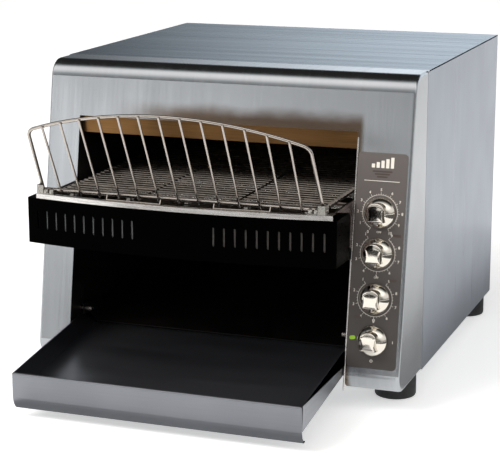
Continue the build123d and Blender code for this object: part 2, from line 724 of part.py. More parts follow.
def gearbox():
    """Die-cast case on four standoffs, with a bossed bore for its output shaft."""
    y, z = DRIVE_Y, MOTOR_SHAFT_Z
    front = GEARBOX_X[0]
    case = block(GEARBOX_X, (y - GEARBOX_HALF, y + GEARBOX_HALF), (z - GEARBOX_BELOW, z + GEARBOX_ABOVE))
    case = fillet(case.edges().filter_by(Axis.X), 8)
    case += rod((front - 3, y, z), (front, y, z), 9)
    bore_end = front + MOTOR_SHAFT_DEPTH + GAP
    case -= rod((front - 4, y, z), (bore_end, y, z), MOTOR_SHAFT_RADIUS + RUNNING_CLEARANCE)
    for dy, dz in GEARBOX_FEET:
        case += rod((OPEN_RIGHT + SHEET, y + dy, z + dz), (front, y + dy, z + dz), 4)
    return case


def motor():
    """Flat motor on the gearbox, with its laminated stack and end bell."""
    y = DRIVE_Y
    z = MOTOR_SHAFT_Z + MOTOR_RISE
    stack_end = GEARBOX_X[1] + STACK_LENGTH
    stack = rod((GEARBOX_X[1], y, z), (stack_end, y, z), STACK_RADIUS)
    return stack + rod((stack_end, y, z), (MOTOR_END_X, y, z), BELL_RADIUS)


# Nose


def front_cover():
    """Bowed cover with two groups of upright slots, a lip below, and closed at both ends of its top."""
    back = NOSE_Y + COVER_RETURN
    wall = nose_outline(0, back) - nose_outline(SHEET, back + 1)
    cover = extrude(Pos(0, 0, COVER_BOTTOM) * wall, amount=COVER_TOP - COVER_BOTTOM)
    lip = nose_outline(0, back) - nose_outline(COVER_LIP, back + 1)
    front = block((LANE_X - NOSE_HALF, LANE_X + NOSE_HALF), (NOSE_Y - NOSE_BOW - 1, NOSE_Y + COVER_LIP),
                  (COVER_BOTTOM - 1, COVER_BOTTOM + SHEET))
    cover += extrude(Pos(0, 0, COVER_BOTTOM) * lip, amount=SHEET) & front
    back_edges = cover.edges().filter_by(Axis.X).filter_by(lambda e: e.center().Y > back - 0.1)
    cover = fillet(back_edges, COVER_CORNER)
    ends = nose_outline(0, back - COVER_CORNER)
    ends -= nose_part(0, back, BRACKET_HALF + GAP, BRACKET_HALF + GAP)
    cover += extrude(Pos(0, 0, COVER_TOP - SHEET) * ends, amount=SHEET)
    slot = SlotOverall(SLOT_Z[1] - SLOT_Z[0], SLOT_WIDTH, rotation=90)
    cutter = Rot(X=90) * extrude(slot, amount=NOSE_BOW + 8)
    for side in (-1, 1):
        for index in range(SLOTS_PER_SIDE):
            x = LANE_X + side * (SLOT_FIRST + SLOT_PITCH * index)
            cover -= Pos(x, NOSE_Y + 3, sum(SLOT_Z) / 2) * cutter
    return cover


def nose_frame():
    """Bright angle strip along the top of the nose, folded back at its ends."""
    back = NOSE_Y + STRIP_RETURN
    outer = nose_part(0, back, *STRIP_ENDS)
    web = outer - nose_part(SHEET, back + 1, *STRIP_ENDS)
    flange = outer - nose_part(STRIP_FLANGE, back + 1, *STRIP_ENDS)
    strip = extrude(Pos(0, 0, COVER_TOP) * web, amount=STRIP_TOP - COVER_TOP)
    return strip + extrude(Pos(0, 0, STRIP_TOP - SHEET) * flange, amount=SHEET)


def strip_wires():
    """Two thin wires along the strip's rear edge, with their ends turned up."""
    lean, rise = STRIP_WIRE_TIP
    wires = []
    for span in STRIP_WIRES:
        corners = [(LANE_X + x, nose_front(x) + STRIP_WIRE_IN, STRIP_TOP + STRIP_WIRE) for x in span]
        wire = rod(*corners, STRIP_WIRE)
        for x, y, z in corners:
            wire += Pos(x, y, z) * Sphere(STRIP_WIRE) + rod((x, y, z), (x, y + lean, z + rise), STRIP_WIRE)
        wires.append(wire)
    return Compound(children=wires)


def left_nose_bracket():
    """Plate from inside the cover back into the cut-out, with an ear that closes the cover's end."""
    outer = LANE_X - BRACKET_HALF
    low = COVER_BOTTOM + SHEET + GAP
    step = NOSE_Y + STRIP_RETURN + GAP
    plate = polygon([(BRACKET_FRONT, low), (BRACKET_FRONT, COVER_TOP - GAP), (step, COVER_TOP - GAP),
                     (step, BRACKET_TOP), (BRACKET_BACK, BRACKET_TOP), (BRACKET_BACK, low)])
    ear = block((LANE_X - NOSE_HALF + SHEET + GAP, outer), (BRACKET_FRONT, BRACKET_FRONT + SHEET),
                (low, COVER_TOP - SHEET - GAP))
    return along_x(plate, outer, outer + SHEET) + ear


def right_nose_bracket():
    return across(left_nose_bracket())


def left_rack_bracket():
    """Hinge lug for the loading rack, with its foot on the nose strip and a stop behind it."""
    outer = LANE_X - LUG_IN - LUG_SHEET
    inner = LANE_X - LUG_IN
    front = RACK_Y - 9
    bracket = block((outer, inner + LUG_FOOT), (front, RACK_Y - 3), (STRIP_TOP, STRIP_TOP + SHEET))
    bracket += block((outer, inner), (front, RACK_Y + 6), (STRIP_TOP, LUG_TOP))
    bracket += block((outer, inner + 7), (front, front + SHEET), (STRIP_TOP, LUG_TOP))
    hole = HINGE_WIRE + RUNNING_CLEARANCE
    return bracket - rod((outer - 1, RACK_Y, RACK_Z), (inner + 1, RACK_Y, RACK_Z), hole)


def rack_brackets():
    left = left_rack_bracket()
    return Compound(children=[left, across(left)])


def rack_cap_nuts():
    nuts = []
    dome = turned([(0, 0), (3.3, 0), (3.3, 2.6), (2.6, 4.6), (1.2, 5.6), (0, 5.8)])
    for inset in CAP_NUTS:
        nut = Pos(LANE_X - LUG_IN + inset, RACK_Y - 6.2, STRIP_TOP + SHEET) * dome
        nuts += [nut, across(nut)]
    return Compound(children=nuts)


def rack_point(x, up, out=0.0):
    """Point on the rack: across the lane, up its slope, and ahead of its plane."""
    lean = math.radians(RACK_LEAN)
    y = RACK_Y - math.sin(lean) * up - math.cos(lean) * out
    z = RACK_Z + math.cos(lean) * up - math.sin(lean) * out
    return (LANE_X + x, y, z)


def rack_arch(x):
    """Height of the rack's arched top wire, up the slope, at x from its middle."""
    return RACK_APEX - RACK_ARCH + math.sqrt(RACK_ARCH * RACK_ARCH - x * x)


def loading_rack():
    """Bent frame wire with an arched top, the wire it turns on, and bars welded across the front."""
    lean = math.radians(RACK_LEAN)
    slope = Plane(origin=rack_point(0, 0), x_dir=(1, 0, 0), z_dir=(0, -math.cos(lean), -math.sin(lean)))
    left = (-RACK_TOP_HALF, rack_arch(RACK_TOP_HALF))
    right = (RACK_TOP_HALF, rack_arch(RACK_TOP_HALF))
    outline = Line((-RACK_HALF, 0), left) + ThreePointArc(left, (0, RACK_APEX), right)
    outline += Line(right, (RACK_HALF, 0))
    corners = outline.vertices().filter_by(lambda v: v.Y > 1)
    spine = slope * fillet(corners, RACK_CORNER)
    rack = sweep((spine ^ 0) * Circle(RACK_WIRE), path=spine)
    reach = LUG_IN + LUG_SHEET + 1
    rack += rod((LANE_X - reach, RACK_Y, RACK_Z), (LANE_X + reach, RACK_Y, RACK_Z), HINGE_WIRE)
    ahead = RACK_WIRE + RACK_BAR - WELD_DEPTH
    for index in range(RACK_BARS):
        x = (index - (RACK_BARS - 1) / 2) * RACK_BAR_PITCH
        rack += rod(rack_point(x, -BAR_DROP, ahead), rack_point(x, rack_arch(x) + BAR_RISE, ahead), RACK_BAR)
    return rack


# Trays and chute


def toast_tray():
    """Sloping tray with a deep front panel that curls under into a grip."""
    left, right = LANE_X - TRAY_HALF, LANE_X + TRAY_HALF
    front = (TRAY_FRONT, tray_floor(TRAY_FRONT))
    back = (TRAY_BACK, tray_floor(TRAY_BACK))
    rise = Vector(0, SHEET)
    tray = along_x(polygon([front, back, Vector(*back) + rise, Vector(*front) + rise]), left, right)
    side_top = tray_floor(TRAY_STEP) + TRAY_DEPTH
    side = polygon([front, back, (TRAY_BACK, side_top - TRAY_REAR_DROP), (TRAY_STEP, side_top),
                    (TRAY_FRONT, front[1] + TRAY_DEPTH)])
    for x0 in (left, right - SHEET):
        tray += along_x(side, x0, x0 + SHEET)
    return tray + along_x(tray_front_outline(), left, right)


def tray_front_outline():
    """Front panel in side view: rolled top, upright face, and a bend under to a small lip."""
    middle = TRAY_FRONT + SHEET / 2
    roll_start = (middle, tray_floor(TRAY_FRONT) + TRAY_DEPTH - TRAY_ROLL)
    path = JernArc(roll_start, (0, 1), TRAY_ROLL, -200)
    path += Line(roll_start, (middle, TRAY_GRIP_TOP))
    curl = JernArc((middle, TRAY_GRIP_TOP), (0, -1), TRAY_GRIP_BEND, TRAY_GRIP_TURN)
    path += curl + Line(curl @ 1, curl @ 1 + Vector(TRAY_LIP, 0))
    return trace(path, SHEET)


def toast_chute():
    """Ramp from behind the belt down to the tray, with side flanges hung on two pins."""
    def ramp(y):
        return CHUTE_FRONT[1] + math.tan(math.radians(CHUTE_TILT)) * (y - CHUTE_FRONT[0])

    front_y, front_z = CHUTE_FRONT
    corner = (CHUTE_BACK, ramp(CHUTE_BACK))
    path = FilletPolyline(CHUTE_FRONT, corner, (CHUTE_BACK, CHUTE_TOP), radius=CHUTE_BEND)
    chute = along_x(trace(path, SHEET), LANE_X - CHUTE_HALF, LANE_X + CHUTE_HALF)
    flange_back = CHUTE_BACK - CHUTE_BEND
    flange = polygon([CHUTE_FRONT, (flange_back, ramp(flange_back)),
                      (flange_back, ramp(flange_back) + CHUTE_FLANGE),
                      (front_y + 30, front_z + CHUTE_FLANGE + 6),
                      (PIN_Y + CHUTE_EAR + 1, PIN_Z + CHUTE_EAR), (PIN_Y - CHUTE_EAR, PIN_Z + CHUTE_EAR),
                      (PIN_Y - CHUTE_EAR, PIN_Z - CHUTE_EAR), (PIN_Y + CHUTE_EAR + 5, PIN_Z - CHUTE_EAR - 2)])
    for x0 in (LANE_X - CHUTE_HALF, LANE_X + CHUTE_HALF - SHEET):
        hole = rod((x0 - 1, PIN_Y, PIN_Z), (x0 + 3, PIN_Y, PIN_Z), PIN_RADIUS + RUNNING_CLEARANCE)
        chute += along_x(flange, x0, x0 + SHEET) - hole
    return chute


def chute_support_pins():
    """Headed pins through the slots of the chamber walls, which carry the chute's ears."""
    x = OPEN_LEFT - SHEET
    pin = rod((x, PIN_Y, PIN_Z), (x + PIN_REACH, PIN_Y, PIN_Z), PIN_RADIUS)
    pin += rod((x - 3, PIN_Y, PIN_Z), (x, PIN_Y, PIN_Z), 7)
    return Compound(children=[pin, across(pin)])


def crumb_tray():
    low = CRUMB_Z[0]
    front, back = CRUMB_FRONT, CRUMB_BACK
    tray = lane(0, CRUMB_HALF, (front, back), (low, low + SHEET))
    tray += lane(CRUMB_HALF - SHEET, CRUMB_HALF, (front, back), CRUMB_Z)
    tray += lane(0, CRUMB_HALF, (front, front + SHEET), CRUMB_Z)
    tray += lane(0, CRUMB_HALF, (back - SHEET, back), CRUMB_Z)
    tray += lane(0, CRUMB_GRIP_HALF, (front - CRUMB_GRIP, front), (low, low + SHEET))
    return tray


# Controls


def control_overlay():
    slope = math.cos(math.radians(FACE_TILT))
    centre = face_plane(sum(OVERLAY_X) / 2, sum(OVERLAY_Z) / 2)
    sheet = RectangleRounded(OVERLAY_X[1] - OVERLAY_X[0], (OVERLAY_Z[1] - OVERLAY_Z[0]) / slope, 5)
    overlay = centre * extrude(sheet, amount=OVERLAY_SHEET)
    for z in KNOB_Z.values():
        overlay -= face_plane(KNOB_X, z) * Cylinder(9.0, 4.0)
    return overlay


def knob(name):
    """Turned skirt with a raised, waisted grip, on its own spindle."""
    rest = KNOB_REST
    skirt = turned([(0, 9.6), (0, 4.6), (9.5, 4.6), (9.5, rest), (KNOB_RADIUS, rest),
                    (KNOB_RADIUS, rest + 2.2), (19.2, rest + 3.0), (18.9, 7.6), (18.2, 8.8),
                    (16.8, 9.3), (13.0, 9.6)])
    grip_base = 8.0
    grip = Pos(0, 0, grip_base) * extrude(grip_outline(), amount=KNOB_HEIGHT - grip_base)
    grip = chamfer(grip.edges().group_by(Axis.Z)[-1], 1.2)
    spindle = Cylinder(SPINDLE_RADIUS, SPINDLE_DEPTH + 5, align=(Align.CENTER, Align.CENTER, Align.MIN))
    return face_plane(KNOB_X, KNOB_Z[name]) * (skirt + grip + Pos(0, 0, -SPINDLE_DEPTH) * spindle)


def grip_outline():
    """Front view of a knob's grip: waisted sides, an arched top and a flat lower end."""
    half, low, high = 10.2, -11.5, 5.5
    waist = half - 1.5
    outline = ThreePointArc((-half, low), (-waist, -3), (-half, high))
    outline += ThreePointArc((-half, high), (0, 13), (half, high))
    outline += ThreePointArc((half, high), (waist, -3), (half, low))
    return make_face(outline + Line((half, low), (-half, low)))


def control(name):
    """Switch or regulator behind the face, held by a threaded bush and a nut."""
    depth = CONTROL_DEPTH[name]
    upward = (Align.CENTER, Align.CENTER, Align.MIN)
    seat = Pos(0, 0, -CASE_DROP)
    case = Pos(0, 0, -CASE_DROP - depth / 2) * Box(*CASE_SIZE, depth)
    case += seat * Cylinder(12, CASE_DROP - SHEET, align=upward)
    case += seat * Cylinder(BUSH_RADIUS, CASE_DROP + 2.6, align=upward)
    case += extrude(RegularPolygon(PANEL_NUT, 6), amount=2.4)
    case -= Pos(0, 0, -SPINDLE_DEPTH - 1) * Cylinder(SPINDLE_RADIUS + RUNNING_CLEARANCE, 20, align=upward)
    for x in (-9, 9):
        case += Pos(x, 0, -CASE_DROP - depth - TERMINAL[2] / 2) * Box(*TERMINAL)
    return face_plane(KNOB_X, KNOB_Z[name]) * case


# Rear equipment


def fan_place():
    """Place on the inside of the rear panel whose Z axis points into the cabinet."""
    return Plane(origin=(FAN_X, BODY_BACK - SHEET, FAN_Z), x_dir=(1, 0, 0), z_dir=(0, -1, 0))


def fan_frame():
    """Square fan housing with a round duct, four arms and the rotor's bearing pin."""
    frame = Box(FAN_SIZE, FAN_SIZE, FAN_DEPTH) - Cylinder(FAN_BORE, FAN_DEPTH + 2)
    for x in (-FAN_HOLE, FAN_HOLE):
        for y in (-FAN_HOLE, FAN_HOLE):
            frame -= Pos(x, y, 0) * Cylinder(2.15, FAN_DEPTH + 2)
    frame = Pos(0, 0, FAN_DEPTH / 2) * frame
    arm = Pos(26, 0, FAN_DEPTH - 1.5) * Box(28, 4, 3)
    frame += Pos(0, 0, FAN_DEPTH - 2) * Cylinder(15.5, 4)
    for angle in (45, 135, 225, 315):
        frame += Rot(Z=angle) * arm
    frame += Pos(0, 0, FAN_DEPTH - 9) * Cylinder(FAN_PIN, 14)
    return fan_place() * frame


def fan_rotor():
    """Hub with swept blades that turns on the frame's pin."""
    upward = (Align.CENTER, Align.CENTER, Align.MIN)
    rotor = Pos(0, 0, HUB_START) * Cylinder(16, ROTOR_LENGTH, align=upward)
    rotor -= Pos(0, 0, 8) * Cylinder(FAN_PIN + RUNNING_CLEARANCE, 20, align=upward)
    swept = Pos(0, 0, HUB_START) * Cylinder(FAN_BLADE_TIP, ROTOR_LENGTH, align=upward)
    vane = Pos(26, 0, HUB_START + ROTOR_LENGTH / 2) * Rot(X=FAN_BLADE_PITCH) * Box(24, 21, 1.4)
    for blade in range(FAN_BLADES):
        rotor += Rot(Z=360 / FAN_BLADES * blade) * (vane & swept)
    return fan_place() * rotor


def fan_guard():
    """Finger guard of concentric wires on the outside of the rear panel."""
    outside = Plane(origin=(FAN_X, BODY_BACK, FAN_Z), x_dir=(-1, 0, 0), z_dir=(0, 1, 0))
    guard = Pos(0, 0, 1.8) * Rot(Z=45) * Rot(Y=90) * Cylinder(GUARD_WIRE, 2 * GUARD_PAD + 3)
    guard += Pos(0, 0, 1.8) * Rot(Z=135) * Rot(Y=90) * Cylinder(GUARD_WIRE, 2 * GUARD_PAD + 3)
    for radius in GUARD_RINGS:
        guard += Pos(0, 0, 3.2) * Torus(radius, GUARD_WIRE)
    for angle in (45, 135, 225, 315):
        guard += Rot(Z=angle) * Pos(GUARD_PAD, 0, 1.0) * Cylinder(4.5, 2.0)
    return outside * guard


def terminal_block():
    """Moulded block with three wells, each with two screws."""
    well = BODY_BOTTOM + 14
    body = block((196.0, 240.0), (262.0, 300.0), (BODY_BOTTOM + SHEET, BODY_BOTTOM + 22))
    for x in (203.0, 218.0, 233.0):
        body -= block((x - 5, x + 5), (268.0, 294.0), (well, well + 16))
        for y in (274.0, 288.0):
            body += rod((x, y, well), (x, y, well + 4), 3)
    return body


def contactor():
    """Switching contactor on the chamber wall, with two rows of terminal screws."""
    wall = OPEN_RIGHT + SHEET
    front = 232.0
    body = block((wall, front), (60.0, 108.0), (70.0, 132.0))
    body += block((wall, front + 8), (66.0, 102.0), (84.0, 118.0))
    for z in (76.0, 126.0):
        for y in (68.0, 84.0, 100.0):
            body += rod((front, y, z), (front + 2.5, y, z), 3)
    return body


def cord_gland():
    """Clamping gland for the supply cord: thread, outer hexagon, dome nut and inner locknut."""
    seat = Plane(origin=(GLAND_X, BODY_BACK, GLAND_Z), x_dir=(-1, 0, 0), z_dir=(0, 1, 0))
    reach = GLAND_END - BODY_BACK
    hexagon = extrude(RegularPolygon(GLAND_HEX, 6), amount=4.5)
    gland = hexagon + turned([(0, 4.5), (12, 4.5), (12, reach - 5), (9, reach), (0, reach)])
    thread = Cylinder(GLAND_THREAD, GLAND_INSIDE, align=(Align.CENTER, Align.CENTER, Align.MIN))
    gland += Pos(0, 0, -GLAND_INSIDE) * thread
    gland += Pos(0, 0, -SHEET - 5) * extrude(RegularPolygon(GLAND_HEX, 6), amount=5)
    return seat * (gland - Cylinder(GLAND_BORE, 60))


def all_parts():
    """Every sub-part by the name of its file."""
    parts = {
        "base_pan": base_pan(),
        "front_bezel": front_bezel(),
        "top_cover": top_cover(),
        "left_side_panel": left_side_panel(),
        "right_side_panel": right_side_panel(),
        "rear_panel": rear_panel(),
        "rear_panel_screws": rear_panel_screws(),
        "rubber_feet": rubber_feet(),
        "foot_bolts": foot_bolts(),
        "left_inner_wall": left_inner_wall(),
        "right_inner_wall": right_inner_wall(),
        "inner_hood": inner_hood(),
        "top_reflector": top_reflector(),
        "top_heaters": top_heaters(),
        "bottom_heaters": bottom_heaters(),
        "heater_end_caps": heater_end_caps(),
        "bottom_reflector": bottom_reflector(),
        "left_conveyor_rail": left_conveyor_rail(),
        "right_conveyor_rail": right_conveyor_rail(),
        "belt_support_bars": belt_support_bars(),
        "belt_cross_rods": belt_cross_rods(),
        "conveyor_belt": conveyor_belt(),
        "drive_shaft": drive_shaft(),
        "drive_wheels": drive_wheels(),
        "idler_shaft": idler_shaft(),
        "idler_wheels": idler_wheels(),
        "shaft_bearings": shaft_bearings(),
        "chain_sprocket": chain_sprocket(),
        "motor_sprocket": motor_sprocket(),
        "drive_chain": drive_chain(),
        "gearbox": gearbox(),
        "motor": motor(),
        "front_cover": front_cover(),
        "nose_frame": nose_frame(),
        "strip_wires": strip_wires(),
        "left_nose_bracket": left_nose_bracket(),
        "right_nose_bracket": right_nose_bracket(),
        "rack_brackets": rack_brackets(),
        "rack_cap_nuts": rack_cap_nuts(),
        "loading_rack": loading_rack(),
        "toast_tray": toast_tray(),
        "toast_chute": toast_chute(),
        "chute_support_pins": chute_support_pins(),
        "crumb_tray": crumb_tray(),
        "control_overlay": control_overlay(),
        "fan_frame": fan_frame(),
        "fan_rotor": fan_rotor(),
        "fan_guard": fan_guard(),
        "terminal_block": terminal_block(),
        "contactor": contactor(),
        "cord_gland": cord_gland(),
    }
    for name in KNOB_Z:
        parts[f"{name}_knob"] = knob(name)
        parts[f"{name}_{'switch' if name == 'power' else 'control'}"] = control(name)
    return parts


os.makedirs("parts", exist_ok=True)
for name, shape in all_parts().items():
    export_step(shape, f"parts/{name}.step")
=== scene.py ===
"""Countertop conveyor toaster: wire work, knobs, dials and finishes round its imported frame.

Lengths are metres. +X is the operator's right when facing the machine, +Y runs to the back, +Z is up.
"""
import math

import bmesh
import bpy
import numpy as np
from mathutils import Matrix


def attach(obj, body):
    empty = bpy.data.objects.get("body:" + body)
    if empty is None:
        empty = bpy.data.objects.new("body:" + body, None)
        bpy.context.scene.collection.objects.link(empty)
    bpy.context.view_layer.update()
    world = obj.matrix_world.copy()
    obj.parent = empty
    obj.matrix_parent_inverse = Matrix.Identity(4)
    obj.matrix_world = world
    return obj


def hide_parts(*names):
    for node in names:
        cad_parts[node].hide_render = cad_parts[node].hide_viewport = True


bl_info = {
    "name": "Conveyor toaster",
    "version": (1, 0, 0),
    "blender": (4, 5, 0),
    "location": "3D View > Sidebar > Toaster",
    "description": "Builds the wire belt, loading rack, knobs, dials and finishes of a conveyor toaster",
    "category": "Add Mesh",
}

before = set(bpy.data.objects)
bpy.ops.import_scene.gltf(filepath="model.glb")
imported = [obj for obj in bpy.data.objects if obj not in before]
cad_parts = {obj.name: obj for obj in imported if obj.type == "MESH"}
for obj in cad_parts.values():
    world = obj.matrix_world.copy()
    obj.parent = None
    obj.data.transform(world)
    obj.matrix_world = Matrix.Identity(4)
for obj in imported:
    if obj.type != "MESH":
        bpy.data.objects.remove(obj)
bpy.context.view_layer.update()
MM = 0.001

# Cabinet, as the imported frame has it
LANE_X = -13.25 * MM  # middle of the conveyor lane
OPEN_RIGHT = 181.5 * MM  # right edge of the cut-out in the front
OPEN_TOP = 357.8 * MM
BODY_TOP = 430.0 * MM
FACE_TOP_Y = -132.7 * MM  # where the sloping face's plane meets the height of the top
FACE_TILT = math.radians(9.52)
FACE_OUT = np.array([0.0, -math.cos(FACE_TILT), math.sin(FACE_TILT)])
FACE_UP = np.array([0.0, math.sin(FACE_TILT), math.cos(FACE_TILT)])
ACROSS = np.array([1.0, 0.0, 0.0])
OVERLAY_SHEET = 0.6 * MM
KNOB_X = 216.5 * MM
KNOB_Z = {"speed": 259.0 * MM, "top_heat": 208.0 * MM, "bottom_heat": 151.0 * MM, "power": 98.0 * MM}

# Conveyor belt
IDLER_Y = -243.5 * MM
DRIVE_Y = 231.5 * MM
SHAFT_Z = 249.0 * MM
BELT_MIDDLE = 25.4 * MM  # from a shaft's axis to the middle of the belt's wire
BELT_WIDTH = 368.0 * MM

# Nose
NOSE_HALF = 208.0 * MM
NOSE_Y = -275.5 * MM
NOSE_BOW = 19.0 * MM
BACKING_ENDS = (-189.0 * MM, 196.0 * MM)  # from the middle of the lane
BACKING_IN = 3.5 * MM  # plate's front behind the nose's front
BACKING_SHEET = 0.8 * MM
BACKING_Z = (228.0 * MM, 258.0 * MM)

# Rolled edge of the cut-out beside the control column
EDGE_RADIUS = 1.3 * MM
EDGE_Z = (32.0 * MM, 350.0 * MM)

# Loading rack
RACK_Y = -268.5 * MM
RACK_Z = 281.5 * MM
RACK_LEAN = math.radians(27.7)
RACK_UP = np.array([0.0, -math.sin(RACK_LEAN), math.cos(RACK_LEAN)])
RACK_OUT = np.array([0.0, -math.cos(RACK_LEAN), -math.sin(RACK_LEAN)])
RACK_HALF = 188.6 * MM
RACK_TOP_HALF = 185.6 * MM
RACK_CORNER = 14.0 * MM
RACK_APEX = 128.0 * MM
RACK_ARCH = 533.0 * MM
RACK_BARS = 13
RACK_BAR_PITCH = 27.0 * MM
HINGE_REACH = 192.0 * MM
BAR_ENDS = (-2.6 * MM, 0.9 * MM)  # ends of a bar, past the hinge wire and past the arch
BAR_SINK = 0.5 * MM  # depth of a bar in the frame wire where they are welded

# Prints on the control film
PRINT_HALF = 0.04 * MM
PRINT_LEVEL = OVERLAY_SHEET + PRINT_HALF
DIAL_RADIUS = 22.7 * MM
# Ticks: from the circle to the middle, length, and width as a share of the line
TICK = (1.6 * MM, 3.2 * MM, 1.0)
SHORT_TICK = (0.8 * MM, 1.4 * MM, 0.8)
DIGIT_OUT = 6.3 * MM  # from a dial's circle to the middle of its digits
SPEED_STEP, HEAT_STEP = 30, 36  # degrees between two digits
WORD_HEIGHT, MARK_HEIGHT = 2.6 * MM, 3.6 * MM
BADGE_Z = 301.0 * MM
BADGE_PITCH = 6.2 * MM
BADGE_BAR = 4.2 * MM

# Camera and floor
CAMERA_PLACE = (0.7678, -2.1374, 0.7198)
CAMERA_TURN = (20.187, 13.215, -0.1085)  # degrees: to the left, downwards, and about the view's axis
FLOOR_REACH = 60.0
FLOOR_POINTS = 9
FLOOR_Z = -0.0002
FLOOR_LIFT = 0.46  # brightness added to the paper for lens, metal and glass
CARD_LEVEL = 0.001
# Cards: name, brightness and corners on the floor, in metres
CARDS = [
    ("front_card", 0.05, [(-0.75, -1.3), (-2.6, -4.0), (0.7, -4.0), (0.7, -1.3)]),
    # Painted shadow: the tray's shadow on the floor just in front of it, seen only in reflections
    ("tray_painted_shadow_card", 0.45, [(-0.22, -0.43), (0.20, -0.43), (0.20, -0.30), (-0.22, -0.30)]),
    ("right_card", 0.12, [(0.72, -4.0), (4.5, -4.0), (4.5, 0.6), (0.72, 0.1)]),
    # Painted shadow: the machine's shadow on the floor beside the right side panel, seen only in reflections
    ("side_painted_shadow_card", 0.30, [(0.26, -0.08), (0.37, -0.08), (0.37, 0.9), (0.26, 0.9)]),
]
# Lamps: name, place, width and height, and share of the key light's power
LAMP_TARGET = (0.0, 0.0, 0.2)
LAMPS = [
    ("key_softbox", (-1.6, -2.4, 2.6), (1.8, 1.4), 1.0),
    ("fill_softbox", (0.6, -3.0, 2.2), (2.4, 1.0), 0.12),
]
# Degrees from the front horizon over the top, brightness, and tint of the surroundings
STUDIO = [
    (0, 1.0, (1.0, 1.0, 1.0)), (9.5, 1.0, (1.0, 1.0, 1.0)), (12.5, 0.38, (1.0, 0.99, 0.98)),
    (19, 0.25, (0.96, 1.0, 1.0)), (26, 0.6, (1.0, 1.0, 1.0)), (38, 1.2, (1.0, 0.99, 0.98)),
    (50, 1.65, (1.0, 0.97, 0.95)), (67, 1.65, (1.0, 0.97, 0.95)), (78, 0.5, (0.95, 1.0, 1.0)),
    (86, 0.03, (1.0, 1.0, 0.95)), (156, 0.03, (1.0, 0.97, 0.92)), (163, 0.30, (0.9, 0.96, 1.0)),
    (170, 0.75, (0.88, 0.95, 1.0)), (180, 1.0, (1.0, 1.0, 1.0)),
]
# Zones of the surroundings: where each starts and is full along one part of the ray's direction, and for
# some the brightness at both
ZONES = {
    "rise": (0.0, 0.16, 0.0, 0.95), "window": (0.015, 0.08, 0.0, 2.0), "left": (-0.31, -0.40),
    "right": (0.15, 0.5), "front": (0.2, 0.5), "below": (0.19, 0.155), "behind": (0.3, 0.6),
    "under": (0.45, 0.25), "wall": (-0.48, -0.20, 0.08, 1.4), "ends": (0.70, 0.95),
    "plain": (0.02, 0.2, 0.3, 0.9),
}
RIGHT_LEVEL = 0.2
WALL_TINT = (0.90, 0.98, 1.06)

# Materials
NOISE_SPAN = (0.3, 0.7)  # where most values of a noise lie
ROUGH_SWING = 0.03
STREAK_LEAST = 6.0 * MM  # least width of the broad streaks in brushed sheet
CLOUD_SIZE = 90.0 * MM
RELIEF = 0.2 * MM  # height that a bump of full strength stands for
WELD = 1e-7  # points nearer than this are one
SHARP = math.radians(35)


def linear(colour):
    """Linear red, green and blue of an sRGB colour written as #rrggbb."""
    srgb = np.array([int(colour[i:i + 2], 16) for i in (1, 3, 5)]) / 255
    return tuple(np.where(srgb <= 0.04045, srgb / 12.92, ((srgb + 0.055) / 1.055) ** 2.4).tolist())


def colour_setting(name, text, colour):
    """Property for a colour that a user would change."""
    return bpy.props.FloatVectorProperty(
        name=name, description=text, default=linear(colour), size=3, min=0, max=1, subtype="COLOR")


def length_setting(name, text, millimetres):
    """Property for a length that a user would change."""
    return bpy.props.FloatProperty(
        name=name, description=text, default=millimetres * MM, min=0, precision=5,
        subtype="DISTANCE", unit="LENGTH")


# Settings


class ToasterSteelSettings(bpy.types.PropertyGroup):
    """Sheet metal of the cabinet and the trays."""
    fascia: colour_setting("Front", "Brushed steel of the sloping front", "#abaeb1")
    top: colour_setting("Top", "Brushed steel of the top cover", "#9fadb8")
    side: colour_setting("Sides", "Brushed steel of the side panels", "#9fa5af")
    tray: colour_setting("Toast tray", "Brushed steel of the toast tray", "#8c8e94")
    # The tint colour is painted shade on the front above the cut-out, standing in for the shading of an inward-bent
    # lip that the flat front lacks
    tint: colour_setting("Painted lip shade", "Painted shade over the front above the cut-out", "#615041")
    grain: length_setting("Grain width", "Width of one brush mark, drawn coarser than the real 0.2 mm", 1.1)


class ToasterWireSettings(bpy.types.PropertyGroup):
    """Wire of the belt and of the loading rack."""
    belt_radius: length_setting("Belt wire radius", "Half of the belt wire's thickness", 1.1)
    belt_pitch: length_setting("Belt pitch", "Distance between two rows of belt wire", 12.7)
    belt_bays: bpy.props.IntProperty(
        name="Belt bays", description="Straight stretches across the belt's width", default=3, min=1)
    belt_colour: colour_setting("Belt wire", "Stainless wire browned by heat", "#6f6963")
    frame_radius: length_setting("Frame wire radius", "Half of the rack frame's wire", 2.2)
    hinge_radius: length_setting("Hinge wire radius", "Half of the wire that the rack turns on", 2.5)
    bar_radius: length_setting("Bar radius", "Half of a rack bar's thickness", 1.5)
    rack_colour: colour_setting("Rack wire", "Nickel and chrome plated wire", "#b3aba3")


class ToasterControlSettings(bpy.types.PropertyGroup):
    """Knobs and the printed film behind them."""
    knob: colour_setting("Knob", "Bright chrome plating", "#ded8cd")
    film: colour_setting("Film", "Printed film of the control column", "#595350")
    ink: colour_setting("Light ink", "Ink of the dials", "#e9e2d6")
    dark_ink: colour_setting("Dark ink", "Ink of the label fields", "#473b35")
    line: length_setting("Line width", "Width of a dial's printed lines", 0.45)
    digit: length_setting("Digit height", "Height of a dial's digits", 3.6)


class ToasterStageSettings(bpy.types.PropertyGroup):
    """Floor, light and camera."""
    floor: colour_setting("Floor", "Seamless pale floor", "#f6f6f5")
    focal: bpy.props.FloatProperty(
        name="Focal length", description="Camera lens", default=119.5, min=10, unit="CAMERA")
    key: bpy.props.FloatProperty(name="Key light", description="Watts of the large soft light", default=75, min=0)


SETTINGS = {
    "toaster_steel": ToasterSteelSettings,
    "toaster_wire": ToasterWireSettings,
    "toaster_controls": ToasterControlSettings,
    "toaster_stage": ToasterStageSettings,
}


# Shapes worked out as arrays


